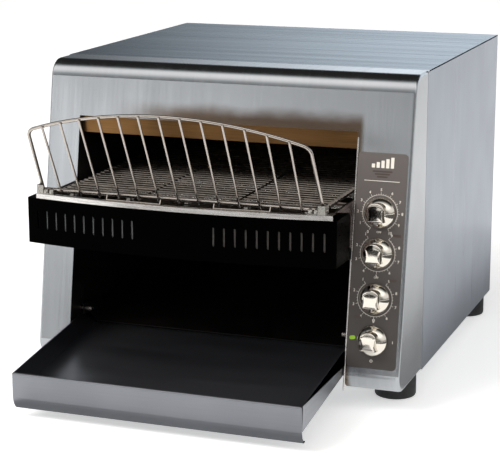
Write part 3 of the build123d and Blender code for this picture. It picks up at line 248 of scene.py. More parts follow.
def grid_faces(rows, columns, wrap_columns=False, flip=False):
    """Quads between the neighbours of a grid of points; wrapped columns join the last to the first."""
    row = np.arange(rows - 1)[:, None]
    column = np.arange(columns if wrap_columns else columns - 1)[None]
    next_row, next_column = row + 1, (column + 1) % columns
    corners = [row * columns + column, row * columns + next_column,
               next_row * columns + next_column, next_row * columns + column]
    faces = np.stack([np.broadcast_to(c, (row.size, column.size)) for c in corners], -1).reshape(-1, 4)
    return faces[:, ::-1] if flip else faces


def unit(vectors):
    """Vectors scaled to a length of one."""
    return vectors / np.linalg.norm(vectors, axis=-1, keepdims=True)


def rounded_path(corners, radii, steps=6):
    """Path through the corners. Each corner with a radius is replaced by an arc that touches both of its
    sides: the arc starts and ends at radius * tan(turn / 2) from the corner."""
    corners = np.asarray(corners, float)
    path = [corners[:1]]
    for before, corner, after, radius in zip(corners, corners[1:], corners[2:], radii):
        if not radius:
            path.append(corner[None])
            continue
        back, on = unit(before - corner), unit(after - corner)
        turn = math.pi - math.acos(np.clip(back @ on, -1, 1))
        reach = radius * math.tan(turn / 2)
        centre = corner + unit(back + on) * radius / math.cos(turn / 2)
        first, last = corner + back * reach - centre, corner + on * reach - centre
        share = np.linspace(0, 1, steps)[:, None]
        path.append(centre + (np.sin((1 - share) * turn) * first + np.sin(share * turn) * last) / math.sin(turn))
    path.append(corners[-1:])
    return np.concatenate(path)


def ring(radius, sides):
    """Points of a circle, as sideways and upward offsets."""
    angle = np.linspace(0, 2 * math.pi, sides, endpoint=False)
    return np.stack([np.cos(angle), np.sin(angle)], -1) * radius


def carried(path, profiles, up):
    """Points of a profile carried along a path. Each point of the path has a side direction square to
    the path and to up, and the profile's two offsets are laid off along it and along its partner."""
    tangent = unit(np.gradient(path, axis=0))
    side = unit(np.cross(tangent, up))
    rise = np.cross(side, tangent)
    return (path[:, None] + profiles[..., :1] * side[:, None] + profiles[..., 1:] * rise[:, None])


def wire(path, radius, up, sides=10):
    """Round wire with domed ends: a ring is carried along the path, and beyond each end its radius falls
    off as the cosine of an angle whose sine is the distance gone."""
    angle = np.linspace(0, math.pi / 2, 4)[1:]
    start, end = unit(path[:1] - path[1:2]), unit(path[-1:] - path[-2:-1])
    dome = np.sin(angle)[:, None] * radius
    full = np.concatenate([(path[:1] + start * dome)[::-1], path, path[-1:] + end * dome])
    scale = np.concatenate([np.cos(angle)[::-1], np.ones(len(path)), np.cos(angle)])
    points = carried(full, ring(radius, sides)[None] * scale[:, None, None], np.asarray(up, float))
    return points.reshape(-1, 3), grid_faces(len(full), sides, wrap_columns=True)


def lathe(profile, sides):
    """Surface of revolution about Z from radius and height points: each point is turned through a circle."""
    profile = np.asarray(profile, float)
    angle = np.linspace(0, 2 * math.pi, sides, endpoint=False)
    points = np.stack([
        profile[:, :1] * np.cos(angle), profile[:, :1] * np.sin(angle),
        np.repeat(profile[:, 1:], sides, axis=1)], -1)
    return points.reshape(-1, 3), grid_faces(len(profile), sides, wrap_columns=True)


def raised(outline, low, high):
    """Closed prism over a star-shaped outline: rings at the low edge and the high edge, each closed to its
    own middle."""
    outline = np.asarray(outline, float)
    middle = outline.mean(0)
    rings = [(0.0, low), (1.0, low), (1.0, high), (0.0, high)]
    points = np.stack([
        np.concatenate([middle + (outline - middle) * share, np.full((len(outline), 1), height)], 1)
        for share, height in rings])
    return points.reshape(-1, 3), grid_faces(len(rings), len(outline), wrap_columns=True)


def copies(shape, offsets):
    """The same shape at each offset."""
    points, faces = shape
    offsets = np.asarray(offsets, float)
    step = np.arange(len(offsets))[:, None, None] * len(points)
    return (points[None] + offsets[:, None]).reshape(-1, 3), (faces[None] + step).reshape(-1, faces.shape[1])


def on_face(points, x, z):
    """Points given across, up and out of the sloping front, round a place at x and z on it."""
    place = np.array([x, FACE_TOP_Y - math.tan(FACE_TILT) * (BODY_TOP - z), z])
    return place + points[:, :1] * ACROSS + points[:, 1:2] * FACE_UP + points[:, 2:] * FACE_OUT


def linked(name, data):
    """New object in the scene."""
    piece = bpy.data.objects.new(name, data)
    bpy.context.scene.collection.objects.link(piece)
    return piece


def set_down(piece, place, right, above, back):
    """Puts a lamp or the camera at a place, turned so that it faces away from back."""
    turn = Matrix(np.stack([right, above, back], 1).tolist()).to_4x4()
    piece.matrix_world = Matrix.Translation(place) @ turn


def squared(corners):
    """Bar through rows of four corners, closed at both ends."""
    rows = len(corners)
    faces = grid_faces(rows, 4, wrap_columns=True).tolist()
    return corners.reshape(-1, 3), faces + [[3, 2, 1, 0], [4 * rows - k for k in (4, 3, 2, 1)]]


def build(name, shapes, materials, body, replaces=(), flat=False):
    """One object from shapes of points, faces and an optional material number. Unless it is flat, its
    faces are turned outwards and shaded smooth up to a sharp edge."""
    points, faces, numbers, first = [], [], [], 0
    for shape in shapes:
        vertices, polygons = shape[:2]
        points.append(vertices)
        faces += (polygons + first).tolist() if isinstance(polygons, np.ndarray) else [
            [index + first for index in polygon] for polygon in polygons]
        numbers += [shape[2] if len(shape) > 2 else 0] * len(polygons)
        first += len(vertices)
    mesh = bpy.data.meshes.new(name)
    mesh.from_pydata(np.concatenate(points).tolist(), [], faces)
    mesh.polygons.foreach_set("material_index", numbers)
    work = bmesh.new()
    work.from_mesh(mesh)
    bmesh.ops.remove_doubles(work, verts=work.verts, dist=WELD)
    bmesh.ops.dissolve_degenerate(work, edges=work.edges, dist=WELD)
    if not flat:
        bmesh.ops.recalc_face_normals(work, faces=work.faces)
    work.to_mesh(mesh)
    work.free()
    for material in materials:
        mesh.materials.append(material)
    if not flat:
        mesh.shade_smooth()
        mesh.set_sharp_from_angle(angle=SHARP)
    piece = linked(name, mesh)
    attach(piece, body)
    if replaces:
        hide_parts(*replaces)


# Materials


def add(tree, kind, links=None, stops=None, **settings):
    """Adds a shader node, sets its properties, and gives each named socket a value or a link."""
    node = tree.nodes.new("ShaderNode" + kind)
    for key, value in settings.items():
        setattr(node, key, value)
    for key, value in (links or {}).items():
        if isinstance(value, bpy.types.NodeSocket):
            tree.links.new(value, node.inputs[key])
        else:
            node.inputs[key].default_value = value
    if stops:
        elements = node.color_ramp.elements
        while len(elements) < len(stops):
            elements.new(0.5)
        for element, (position, colour) in zip(elements, stops):
            element.position, element.color = position, (*colour, 1)
    return node


def start(name):
    """New material with an empty tree, and its object coordinates."""
    material = bpy.data.materials.new(name)
    material.use_nodes = True
    tree = material.node_tree
    tree.nodes.clear()
    return material, tree, add(tree, "TexCoord").outputs["Object"]


def close(tree, **sockets):
    """Ends a tree with its surface shader."""
    names = {key.replace("_", " "): value for key, value in sockets.items()}
    shader = add(tree, "BsdfPrincipled", names)
    add(tree, "OutputMaterial", {"Surface": shader.outputs[0]})


def noise(tree, coordinates, size, detail=3.0, roughness=0.55):
    """Factor of a noise whose patches are about as large as size, in metres along each axis."""
    place = add(tree, "Mapping", {"Vector": coordinates, "Scale": [1 / s for s in size]})
    return add(tree, "TexNoise", {
        "Vector": place.outputs[0], "Scale": 1.0, "Detail": detail, "Roughness": roughness}).outputs[0]


def mapped(tree, value, start, end, low=0.0, high=1.0, kind="LINEAR"):
    """Value that goes from low to high as another goes from start to end, and is held beyond them."""
    return add(tree, "MapRange", {
        "Value": value, "From Min": start, "From Max": end, "To Min": low, "To Max": high},
        interpolation_type=kind).outputs[0]


def eased(tree, value, start, end, low=0.0, high=1.0):
    """The same, setting off and arriving softly."""
    return mapped(tree, value, start, end, low, high, "SMOOTHSTEP")


def maths(tree, operation, *values):
    """Result of an operation on its values."""
    return add(tree, "Math", dict(enumerate(values)), operation=operation).outputs[0]


def mixed(tree, amount, first, second):
    """Colour that goes from the first to the second as the amount goes from nothing to one."""
    return add(tree, "Mix", {0: amount, 6: first, 7: second}, data_type="RGBA").outputs[2]


def apart(tree, vector):
    """The three parts of a vector."""
    return add(tree, "SeparateXYZ", {0: vector}).outputs


def ramp(tree, value, stops):
    """Colour looked up between stops of position and colour."""
    return add(tree, "ValToRGB", {"Fac": value}, stops=stops).outputs[0]


def bumped(tree, height, strength, depth=RELIEF):
    """Normal of a surface raised by a height."""
    return add(tree, "Bump", {"Height": height, "Strength": strength, "Distance": depth}).outputs[0]


def swing(tree, source, amount):
    """A noise turned into a value that swings round zero by about the amount."""
    return mapped(tree, source, *NOISE_SPAN, -amount, amount)


def shade(colour, share):
    """A colour made lighter or darker by a share of itself."""
    return tuple(min(1.0, c * (1 + share)) for c in colour)


def brushed(name, colour, grain, way, roughness=0.28, fine=0.06, broad=0.03, cloud=0.03, bump=0.02,
            directed=0.7, tint=None):
    """Brushed sheet: colour and roughness follow fine marks along one axis, broader streaks beside them
    and soft clouds. grain is the size of a mark along each axis. The gloss is drawn out square to the
    marks: its direction is the cross product of the normal and way."""
    material, tree, place = start(name)
    marks = noise(tree, place, grain)
    streaks = noise(tree, place, [max(4 * g, STREAK_LEAST) for g in grain], detail=2.0)
    clouds = noise(tree, place, [CLOUD_SIZE] * 3, detail=1.0)
    total = 0.5
    for source, amount in ((marks, fine), (streaks, broad), (clouds, cloud)):
        total = maths(tree, "ADD", swing(tree, source, amount), total)
    base = ramp(tree, total, [(0.0, shade(colour, -1.0)), (0.5, colour), (1.0, shade(colour, 1.0))])
    # tint paints a colour over the base; on the front it lays painted shade above the cut-out
    if tint:
        base = tint(tree, place, base)
    rough = mapped(tree, streaks, *NOISE_SPAN, roughness - ROUGH_SWING, roughness + ROUGH_SWING)
    normal = add(tree, "NewGeometry").outputs["Normal"]
    across = add(tree, "VectorMath", {0: normal, 1: way}, operation="CROSS_PRODUCT")
    drawn = add(tree, "VectorMath", {0: across.outputs[0]}, operation="NORMALIZE")
    close(tree, Base_Color=base, Metallic=1.0, Roughness=rough, Normal=bumped(tree, marks, bump),
          Anisotropic=directed, Tangent=drawn.outputs[0])
    return material


def mottled(name, colour, metallic, roughness, size=8 * MM, contrast=0.12, bump=0.05, **sockets):
    """Cast, moulded, plated or coated surface with a soft unevenness of the stated size."""
    material, tree, place = start(name)
    patch = noise(tree, place, [size] * 3, detail=4.0)
    base = ramp(tree, patch, [(0.25, shade(colour, -contrast)), (0.75, shade(colour, contrast))])
    rough = mapped(tree, patch, *NOISE_SPAN, roughness * 0.8, min(1.0, roughness * 1.2))
    close(tree, Base_Color=base, Metallic=metallic, Roughness=rough, Normal=bumped(tree, patch, bump),
          **sockets)
    return material


def lip_tint(colour):
    """Painted shade above the cut-out, for the shading of an inward-bent lip that the flat front lacks: fullest at
    its edge, fading upwards, to the left and beyond its right edge. A noise moves the height where it fades."""
    def apply(tree, place, base):
        x, _, z = apart(tree, place)
        height = maths(tree, "MULTIPLY_ADD", noise(tree, place, [30 * MM] * 3, detail=2.0), 12 * MM, z)
        amount = 0.95
        for value, nothing, full in ((height, OPEN_TOP + 34 * MM, OPEN_TOP + 12 * MM),
                                     (x, -175 * MM, -50 * MM),
                                     (x, OPEN_RIGHT + 10 * MM, OPEN_RIGHT + 2 * MM)):
            amount = maths(tree, "MULTIPLY", eased(tree, value, nothing, full), amount)
        return mixed(tree, amount, base, (*colour, 1))
    return apply


def galvanised():
    """Hot-dipped zinc: flat crystals of about 9 mm, each with its own grey and gloss."""
    material, tree, place = start("galvanised_sheet")
    size = add(tree, "Mapping", {"Vector": place, "Scale": [1 / (9 * MM)] * 3})
    crystal = add(tree, "TexVoronoi", {"Vector": size.outputs[0], "Scale": 1.0})
    grey = add(tree, "SeparateColor", {0: crystal.outputs["Color"]}).outputs
    base = ramp(tree, grey[0], [(0.0, linear("#8d9194")), (1.0, linear("#b4b8ba"))])
    close(tree, Base_Color=base, Metallic=1.0, Roughness=mapped(tree, grey[1], 0.0, 1.0, 0.32, 0.5))
    return material


def printed_film(colour):
    """Polyester film, printed on its back and lightly textured: half matt with a fine sparkle, and darker
    towards its lower end."""
    material, tree, place = start("printed_polyester_film")
    fade = mapped(tree, apart(tree, place)[2], 60 * MM, 335 * MM)
    base = ramp(tree, fade, [(0.0, shade(colour, -0.5)), (1.0, shade(colour, 0.25))])
    sand = noise(tree, place, [0.8 * MM] * 3, detail=2.0)
    close(tree, Base_Color=base, Roughness=0.42, Normal=bumped(tree, sand, 0.10, 0.1 * MM), IOR=1.57,
          Specular_IOR_Level=0.3)
    return material


def stained_sheet():
    """Unpolished sheet: matt grey at its left end and browned by heat towards its right end."""
    material, tree, place = start("heat_stained_sheet")
    patch = swing(tree, noise(tree, place, [6 * MM] * 3), 0.15)
    stain = maths(tree, "ADD", mapped(tree, apart(tree, place)[0], -0.2, 0.2), patch)
    base = ramp(tree, stain, [(0.0, linear("#96989b")), (0.4, linear("#8a8b8c")),
                              (0.65, linear("#66625e")), (1.0, linear("#57524d"))])
    close(tree, Base_Color=base, Roughness=0.7)
    return material


def quartz_glass():
    """Drawn quartz tube: clear, slightly milky, with a film of baked crumbs in patches."""
    material, tree, place = start("quartz_glass")
    film = noise(tree, place, [20 * MM, 6 * MM, 6 * MM])
    close(tree, Base_Color=(*linear("#e9e6e0"), 1), Roughness=mapped(tree, film, 0.0, 1.0, 0.05, 0.45),
          IOR=1.458, Transmission_Weight=0.85)
    return material


# Plain finishes: slot, material, colour, metallic, roughness, then the unevenness: its size in
# millimetres, contrast and height
PLAIN_FINISHES = [
    ("dark_steel", "blackened_chamber_sheet", "#15110f", 0.4, 0.42, 25, 0.5, 0.02),
    ("gearbox_metal", "die_cast_zinc", "#8f9193", 1.0, 0.55, 1.5, 0.1, 0.3),
    ("foot_rubber", "moulded_rubber", "#121513", 0.0, 0.62, 3, 0.25, 0.15),
    ("ceramic", "fired_steatite", "#ddd6c6", 0.0, 0.75, 3, 0.06, 0.05),
    ("ground_steel", "ground_steel_bar", "#a9a39d", 1.0, 0.25, 4, 0.15, 0.05),
    ("wheel_steel", "cut_steel_wheels", "#8e8a85", 1.0, 0.38, 3, 0.2, 0.05),
    ("bronze", "sintered_bronze", "#a97b45", 1.0, 0.45, 1.5, 0.2, 0.05),
    ("motor_iron", "laminated_motor_iron", "#4a4b4e", 0.9, 0.5, 1.2, 0.2, 0.05),
    ("fittings", "zinc_plated_fittings", "#b5b2ab", 1.0, 0.30, 2, 0.1, 0.05),
    ("phenolic", "moulded_phenolic", "#26211e", 0.0, 0.5, 1.5, 0.2, 0.05),
    ("fan_plastic", "moulded_fan_plastic", "#17181a", 0.0, 0.45, 1.5, 0.15, 0.05),
    ("guard_wire", "plated_guard_wire", "#c4c4c2", 1.0, 0.22, 4, 0.08, 0.05),
    ("gland_nylon", "moulded_nylon", "#1b1c1e", 0.0, 0.42, 1.5, 0.15, 0.05),
]


def finishes(scene):
    """Material for every slot of the record."""
    steel, wires, controls = scene.toaster_steel, scene.toaster_wire, scene.toaster_controls
    along, mark = 70 * MM, steel.grain
    made = {}
    # 304 stainless sheet, brushed up and down: fine upright marks that carry over the top bend
    # Over this steel, painted shade above the cut-out stands in for the shading of an inward-bent lip that the flat
    # front lacks
    made["cabinet_steel"] = brushed("brushed_stainless_front", tuple(steel.fascia), [mark, along, along],
                                    (0.0, 1.0, 1.0), roughness=0.23, fine=0.025, broad=0.012, cloud=0.02,
                                    bump=0.008, directed=0.5, tint=lip_tint(tuple(steel.tint)))
    # The same sheet on the sides, seen at a low angle, so the marks read as broad upright shades
    made["side_panels"] = brushed("brushed_stainless_side", tuple(steel.side), [along, mark * 2, along * 3],
                                  (0.0, 0.0, 1.0), roughness=0.30, fine=0.02, broad=0.02, bump=0.01)
    # The top is brushed from side to side, and reflects the room behind as soft clouds
    made["top_steel"] = brushed("brushed_stainless_top", tuple(steel.top), [along * 2, mark * 2, along],
                                (1.0, 0.0, 0.0), roughness=0.26, fine=0.015, broad=0.012, cloud=0.01, bump=0.004)
    # Darker sheet of the toast tray, brushed along its front
    made["tray_steel"] = brushed("brushed_stainless_tray", tuple(steel.tray), [along, along, mark],
                                 (1.0, 0.0, 0.0), roughness=0.34, fine=0.012, broad=0.01)
    # Bright annealed strip, brushed along its length
    made["bright_strip"] = brushed("bright_brushed_strip", linear("#c9c6c3"), [30 * MM, 3 * MM, 0.9 * MM],
                                   (1.0, 0.0, 0.0), roughness=0.24, fine=0.12, broad=0.06)
    made["bracket_steel"] = brushed("brushed_bracket_steel", linear("#a59a9a"), [along, along, mark],
                                    (0.0, 1.0, 0.0), roughness=0.25)
    made["hood_steel"] = brushed("heat_tinted_hood", linear("#87643f"), [along, along, mark],
                                 (1.0, 0.0, 0.0), roughness=0.35, fine=0.08, cloud=0.15)
    made["reflector_steel"] = brushed("heat_tinted_reflector", linear("#7b6b5a"), [along, mark, along],
                                      (1.0, 0.0, 0.0), roughness=0.3, cloud=0.2)
    made["rail_steel"] = brushed("heat_tinted_rail", linear("#7d736b"), [along, along, mark],
                                 (0.0, 1.0, 0.0), roughness=0.35)
    # Zinc-coated steel of the back and the base
    made["galvanised"] = galvanised()
    made["quartz"] = quartz_glass()
    # Stainless spring wire browned by the heaters
    made["belt_wire"] = mottled("heat_browned_stainless_wire", tuple(wires.belt_colour), 1.0, 0.30,
                                size=6 * MM, contrast=0.45)
    # Black enamel on the nose, deep and even with a trace of orange peel
    made["black_enamel"] = mottled("black_enamel_cover", linear("#010101"), 0.0, 0.30, size=2.5 * MM,
                                   contrast=0.15, bump=0.03, Specular_IOR_Level=0.006)
    # Unpolished sheet behind the nose's slots
    made["dull_sheet"] = stained_sheet()
    # Plated wire: mirror-like with a warm cast
    made["rack_chrome"] = mottled("plated_rack_wire", tuple(wires.rack_colour), 1.0, 0.16, size=10 * MM,
                                  contrast=0.10, bump=0.02)
    # Bright chrome over die-cast metal: a mirror with a warm cast
    made["knob_chrome"] = mottled("bright_chrome", tuple(controls.knob), 1.0, 0.09, size=12 * MM,
                                  contrast=0.03, bump=0.003)
    made["overlay_print"] = printed_film(tuple(controls.film))
    for slot, name, colour, metallic, roughness, size, contrast, bump in PLAIN_FINISHES:
        made[slot] = mottled(name, linear(colour), metallic, roughness, size * MM, contrast, bump)
    return made


def ink(name, colour):
    """Screen-printed ink: flat and matt, with the faint unevenness of the mesh it was pressed through."""
    return mottled(name, colour, 0.0, 0.55, size=0.6 * MM, contrast=0.05, bump=0.02)


def finish(slot):
    """Material already made for a slot."""
    return bpy.data.materials[FINISH_NAMES[slot]]


FINISH_NAMES = {}


# Operators


class TOASTER_OT_finishes(bpy.types.Operator):
    """Gives every sheet, casting and moulding of the frame its finish"""
    bl_idname = "toaster.finishes"
    bl_label = "Finishes"

    def execute(self, context):
        made = finishes(context.scene)
        FINISH_NAMES.update({slot: material.name for slot, material in made.items()})
        for name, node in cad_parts.items():
            slot = node.data.materials[0].name.split(".")[0]
            if name.endswith("_side_panel"):
                slot = "side_panels"
            node.data.materials[0] = made[slot]
        return {"FINISHED"}


class TOASTER_OT_belt(bpy.types.Operator):
    """Weaves the conveyor belt from bent wires"""
    bl_idname = "toaster.belt"
    bl_label = "Wire belt"

    def execute(self, context):
        wires = context.scene.toaster_wire
        run = DRIVE_Y - IDLER_Y
        arc = math.pi * BELT_MIDDLE
        around = 2 * (run + arc)
        count = round(around / wires.belt_pitch)
        pitch = around / count
        over = 0.45 * MM                  # rise of a wire where it passes over its neighbour
        hook = wires.belt_radius          # how far each leg reaches past its neighbour's row
        bend = 2.0 * MM
        edges = np.linspace(-BELT_WIDTH / 2, BELT_WIDTH / 2, wires.belt_bays + 1)
        edges[[0, -1]] -= np.array([-1, 1]) * (bend + wires.belt_radius)
        low, high = (-hook, -over), (pitch + hook, over)
        inward = 6 * MM
        corners = [(edges[0] + inward, *high), (edges[0], *high), (edges[0], *low)]
        for number, x in enumerate(edges[1:-1]):
            near, far = (low, high) if number % 2 == 0 else (high, low)
            corners += [(x, *near), (x, *far)]
        last = low if wires.belt_bays % 2 else high
        turn_back = high if last == low else low
        corners += [(edges[-1], *last), (edges[-1], *turn_back), (edges[-1] - inward, *turn_back)]
        path = rounded_path(corners, [bend] * (len(corners) - 2), steps=5)
        strand = wire(path, wires.belt_radius, (0.0, 0.0, 1.0), sides=6)
        rows = np.zeros((count, 3))
        rows[:, 1] = np.arange(count) * pitch
        points, faces = copies(strand, rows)
        # Unrolled coordinates (across, along, out) laid round the two shafts: straight above, half a
        # circle at the drive shaft, straight below, half a circle at the idler shaft.
        x, along, out = points.T
        along = np.mod(along, around)
        radius = BELT_MIDDLE + out
        rear, front = (along - run) / BELT_MIDDLE, (along - 2 * run - arc) / BELT_MIDDLE
        part = [along < run, along < run + arc, along < 2 * run + arc]
        y = np.select(part, [IDLER_Y + along, DRIVE_Y + radius * np.sin(rear), DRIVE_Y - (along - run - arc)],
                      IDLER_Y - radius * np.sin(front))
        z = SHAFT_Z + np.select(part, [radius, radius * np.cos(rear), -radius], -radius * np.cos(front))
        build("belt_wires", [(np.stack([LANE_X + x, y, z], -1), faces)], [finish("belt_wire")], "cabinet",
              replaces=["conveyor_belt"])
        return {"FINISHED"}


class TOASTER_OT_rack(bpy.types.Operator):
    """Bends and welds the loading rack"""
    bl_idname = "toaster.rack"
    bl_label = "Loading rack"

    def execute(self, context):
        wires = context.scene.toaster_wire
        hinge = np.array([LANE_X, RACK_Y, RACK_Z])

        def on_rack(x, up, out=0.0):
            x, up = np.broadcast_arrays(np.asarray(x, float), up)
            return hinge + x[..., None] * ACROSS + up[..., None] * RACK_UP + out * RACK_OUT

        def arch(x):
            return RACK_APEX - RACK_ARCH + np.sqrt(RACK_ARCH ** 2 - x ** 2)

        tops = np.linspace(-RACK_TOP_HALF, RACK_TOP_HALF, 33)
        inner = tops[2:-2]
        x = np.concatenate([[-RACK_HALF], tops[:1], inner, tops[-1:], [RACK_HALF]])
        up = np.concatenate([[0.0], arch(tops[:1]), arch(inner), arch(tops[-1:]), [0.0]])
        radii = [RACK_CORNER] + [0] * len(inner) + [RACK_CORNER]
        outline = rounded_path(on_rack(x, up), radii, steps=10)
        shapes = [wire(outline, wires.frame_radius, RACK_OUT, sides=16)]
        ends = np.linspace(-HINGE_REACH, HINGE_REACH, 9)
        shapes.append(wire(on_rack(ends, 0.0), wires.hinge_radius, RACK_OUT, sides=16))
        ahead = wires.frame_radius + wires.bar_radius - BAR_SINK
        for index in range(RACK_BARS):
            x = (index - (RACK_BARS - 1) / 2) * RACK_BAR_PITCH
            span = np.linspace(BAR_ENDS[0], arch(x) + BAR_ENDS[1], 7)
            shapes.append(wire(on_rack(x, span, ahead), wires.bar_radius, RACK_OUT, sides=12))
        build("rack_wires", shapes, [finish("rack_chrome")], "rack_body", replaces=["loading_rack"])
        return {"FINISHED"}


def knob_shapes():
    """A turned skirt with a domed top, and a waisted grip whose outline is drawn in towards its face. At a
    share d of the way down, the face has fallen by (top - low) * (0.035 d + 0.080 d^2): its slope grows
    from 2 to 11 degrees. Numbers are millimetres."""
    skirt = np.array([
        (0.0, 1.1), (19.6, 1.1), (20.0, 1.5), (20.0, 2.6), (19.7, 3.4), (19.0, 4.5), (18.0, 5.7),
        (16.8, 6.9), (15.5, 8.1), (14.0, 9.3), (12.4, 10.4), (10.5, 11.4), (8.0, 12.2), (0.0, 12.6)]) * MM
    # Outline: lower edge, right side pulled in at the waist, arched top, left side
    half, low, high, top, waist, rise = 10.2, -11.5, 5.5, 13.0, 1.5, 7.5
    up = np.linspace(0, 1, 13)
    side_y = low + (high - low) * up
    side_x = half - waist * np.sin(math.pi * up)
    over = np.linspace(0, math.pi, 25)[1:-1]
    crown_x, crown_y = half * np.cos(over), high + rise * np.sin(over) ** 0.9
    outline = np.concatenate([
        np.stack([side_x, side_y], -1), np.stack([crown_x, crown_y], -1),
        np.stack([-side_x, side_y], -1)[::-1],
        np.stack([np.linspace(-half, half, 9)[1:-1], np.full(7, low)], -1)])
    middle = np.array([0.0, (low + top) / 2 - 1.0])
    # Rings: how far each is drawn in, and its height. The last ones close the crowned face.
    reach, face = 10.0, 25.8
    levels = [(0.0, 9.0), (0.0, 24.1), (0.12, 24.7), (0.45, 25.25), (0.95, 25.6), (1.6, 25.8)]
    levels += [(reach * (1 - share), face + 0.1 * (1 - share ** 2)) for share in (0.66, 0.5, 0.34, 0.17, 0.0)]
    rings = []
    for inset, height in levels:
        flat = middle + (outline - middle) * (1 - inset / reach)
        down = (top - flat[:, 1]) / (top - low)
        fall = (top - low) * (0.035 * down + 0.080 * down ** 2) * (height > levels[0][1])
        rings.append(np.column_stack([flat, height - fall]))
    grip = np.stack(rings) * MM
    grip_faces = grid_faces(len(rings), len(outline), wrap_columns=True)
    spindle = np.array([(0.0, -14.0), (3.0, -14.0), (3.0, 1.2), (0.0, 1.2)]) * MM
    return [lathe(skirt, 72), (grip.reshape(-1, 3), grip_faces), lathe(spindle, 20)]


class TOASTER_OT_backing(bpy.types.Operator):
    """Puts the thin bowed plate behind the slots of the nose"""
    bl_idname = "toaster.backing"
    bl_label = "Slot backing"

    def execute(self, context):
        # The plate follows the nose: y = front + bow radius - sqrt(bow radius^2 - x^2)
        radius = (NOSE_HALF ** 2 + NOSE_BOW ** 2) / (2 * NOSE_BOW)
        x = np.linspace(*BACKING_ENDS, 41)
        front = NOSE_Y - NOSE_BOW + radius - np.sqrt(radius ** 2 - x ** 2) + BACKING_IN
        low, high = BACKING_Z
        section = [(0.0, low), (BACKING_SHEET, low), (BACKING_SHEET, high), (0.0, high)]
        points = np.stack([np.stack([LANE_X + x, front + deep, np.full(len(x), z)], -1)
                           for deep, z in section], 1)
        build("slot_backing", [squared(points)], [finish("dull_sheet")], "cabinet")
        return {"FINISHED"}


class TOASTER_OT_edge(bpy.types.Operator):
    """Rolls the edge of the cut-out beside the control column"""
    bl_idname = "toaster.edge"
    bl_label = "Rolled edge"

    def execute(self, context):
        z = np.linspace(*EDGE_Z, 12)
        y = FACE_TOP_Y - math.tan(FACE_TILT) * (BODY_TOP - z) + EDGE_RADIUS / 2
        path = np.stack([np.full(len(z), OPEN_RIGHT + EDGE_RADIUS / 2), y, z], -1)
        build("column_rolled_edge", [wire(path, EDGE_RADIUS, ACROSS, sides=16)], [finish("bright_strip")],
              "cabinet")
        return {"FINISHED"}


class TOASTER_OT_knobs(bpy.types.Operator):
    """Casts the four chrome knobs"""
    bl_idname = "toaster.knobs"
    bl_label = "Knobs"

    def execute(self, context):
        for name, z in KNOB_Z.items():
            shapes = [(on_face(points, KNOB_X, z), faces) for points, faces in knob_shapes()]
            build(f"{name}_knob_cast", shapes, [finish("knob_chrome")], f"{name}_knob_body",
                  replaces=[f"{name}_knob"])
        return {"FINISHED"}


def lettering(text, height, across, up, turn=0.0):
    """Raised strokes of a short text round a middle point, from Blender's own typeface."""
    curve = bpy.data.curves.new("lettering", "FONT")
    curve.body, curve.align_x, curve.align_y = text, "CENTER", "CENTER"
    curve.size, curve.offset, curve.resolution_u = 1.38 * height, 0.02 * height, 3
    curve.extrude = PRINT_HALF
    holder = linked("lettering", curve)
    bpy.context.view_layer.update()
    mesh = bpy.data.meshes.new_from_object(holder.evaluated_get(bpy.context.evaluated_depsgraph_get()))
    points = np.zeros(len(mesh.vertices) * 3)
    mesh.vertices.foreach_get("co", points)
    points = points.reshape(-1, 3) @ np.array(Matrix.Rotation(turn, 3, "Z")).T
    points += np.array([across, up, PRINT_LEVEL])
    faces = [list(polygon.vertices) for polygon in mesh.polygons]
    bpy.data.objects.remove(holder)
    bpy.data.curves.remove(curve)
    bpy.data.meshes.remove(mesh)
    return points, faces


def bar(centre, size, turn=0.0, corner=0.0):
    """Printed bar about a point: a rectangle with optional round corners, turned in the plane."""
    half = np.asarray(size) / 2
    corner = min(corner, half.min()) or 0.01 * MM
    angle = np.linspace(0, 2 * math.pi, 24, endpoint=False) + math.pi / 24
    arm = np.stack([np.cos(angle), np.sin(angle)], -1)
    outline = np.sign(arm) * (half - corner) + arm * corner
    spin = np.array([[math.cos(turn), -math.sin(turn)], [math.sin(turn), math.cos(turn)]])
    outline = outline @ spin.T + np.asarray(centre)
    return raised(outline, PRINT_LEVEL - PRINT_HALF, PRINT_LEVEL + PRINT_HALF)


def band(radius, width, first, last):
    """Printed arc: a flat ring section from one angle to another, in degrees clockwise from the top."""
    angle = np.radians(np.linspace(first, last, max(8, int(abs(last - first) / 4))))
    rim = np.stack([np.sin(angle), np.cos(angle)], -1)
    inner, outer = rim * (radius - width / 2), rim * (radius + width / 2)
    low, high = PRINT_LEVEL - PRINT_HALF, PRINT_LEVEL + PRINT_HALF
    section = [(inner, low), (outer, low), (outer, high), (inner, high)]
    points = np.stack([np.concatenate([p, np.full((len(p), 1), h)], 1) for p, h in section], 1)
    return squared(points)


def dial(line, digit, marks, span):
    """Circle, ticks and digits of one dial. marks are (text, degrees clockwise from the top)."""
    def tick(degrees, middle, length, wide):
        way = np.array([math.sin(math.radians(degrees)), math.cos(math.radians(degrees))])
        return way, bar(way * (DIAL_RADIUS + middle), (line * wide, length), -math.radians(degrees))

    shapes = [band(DIAL_RADIUS, line, *span)]
    for text, degrees in marks:
        way, mark = tick(degrees, *TICK)
        shapes += [mark, lettering(text, digit, *(way * (DIAL_RADIUS + DIGIT_OUT)))]
    angles = [degrees for _, degrees in marks]
    for near, far in zip(angles, angles[1:]):
        for share in (0.25, 0.5, 0.75):
            shapes.append(tick(near + (far - near) * share, *SHORT_TICK)[1])
    return shapes


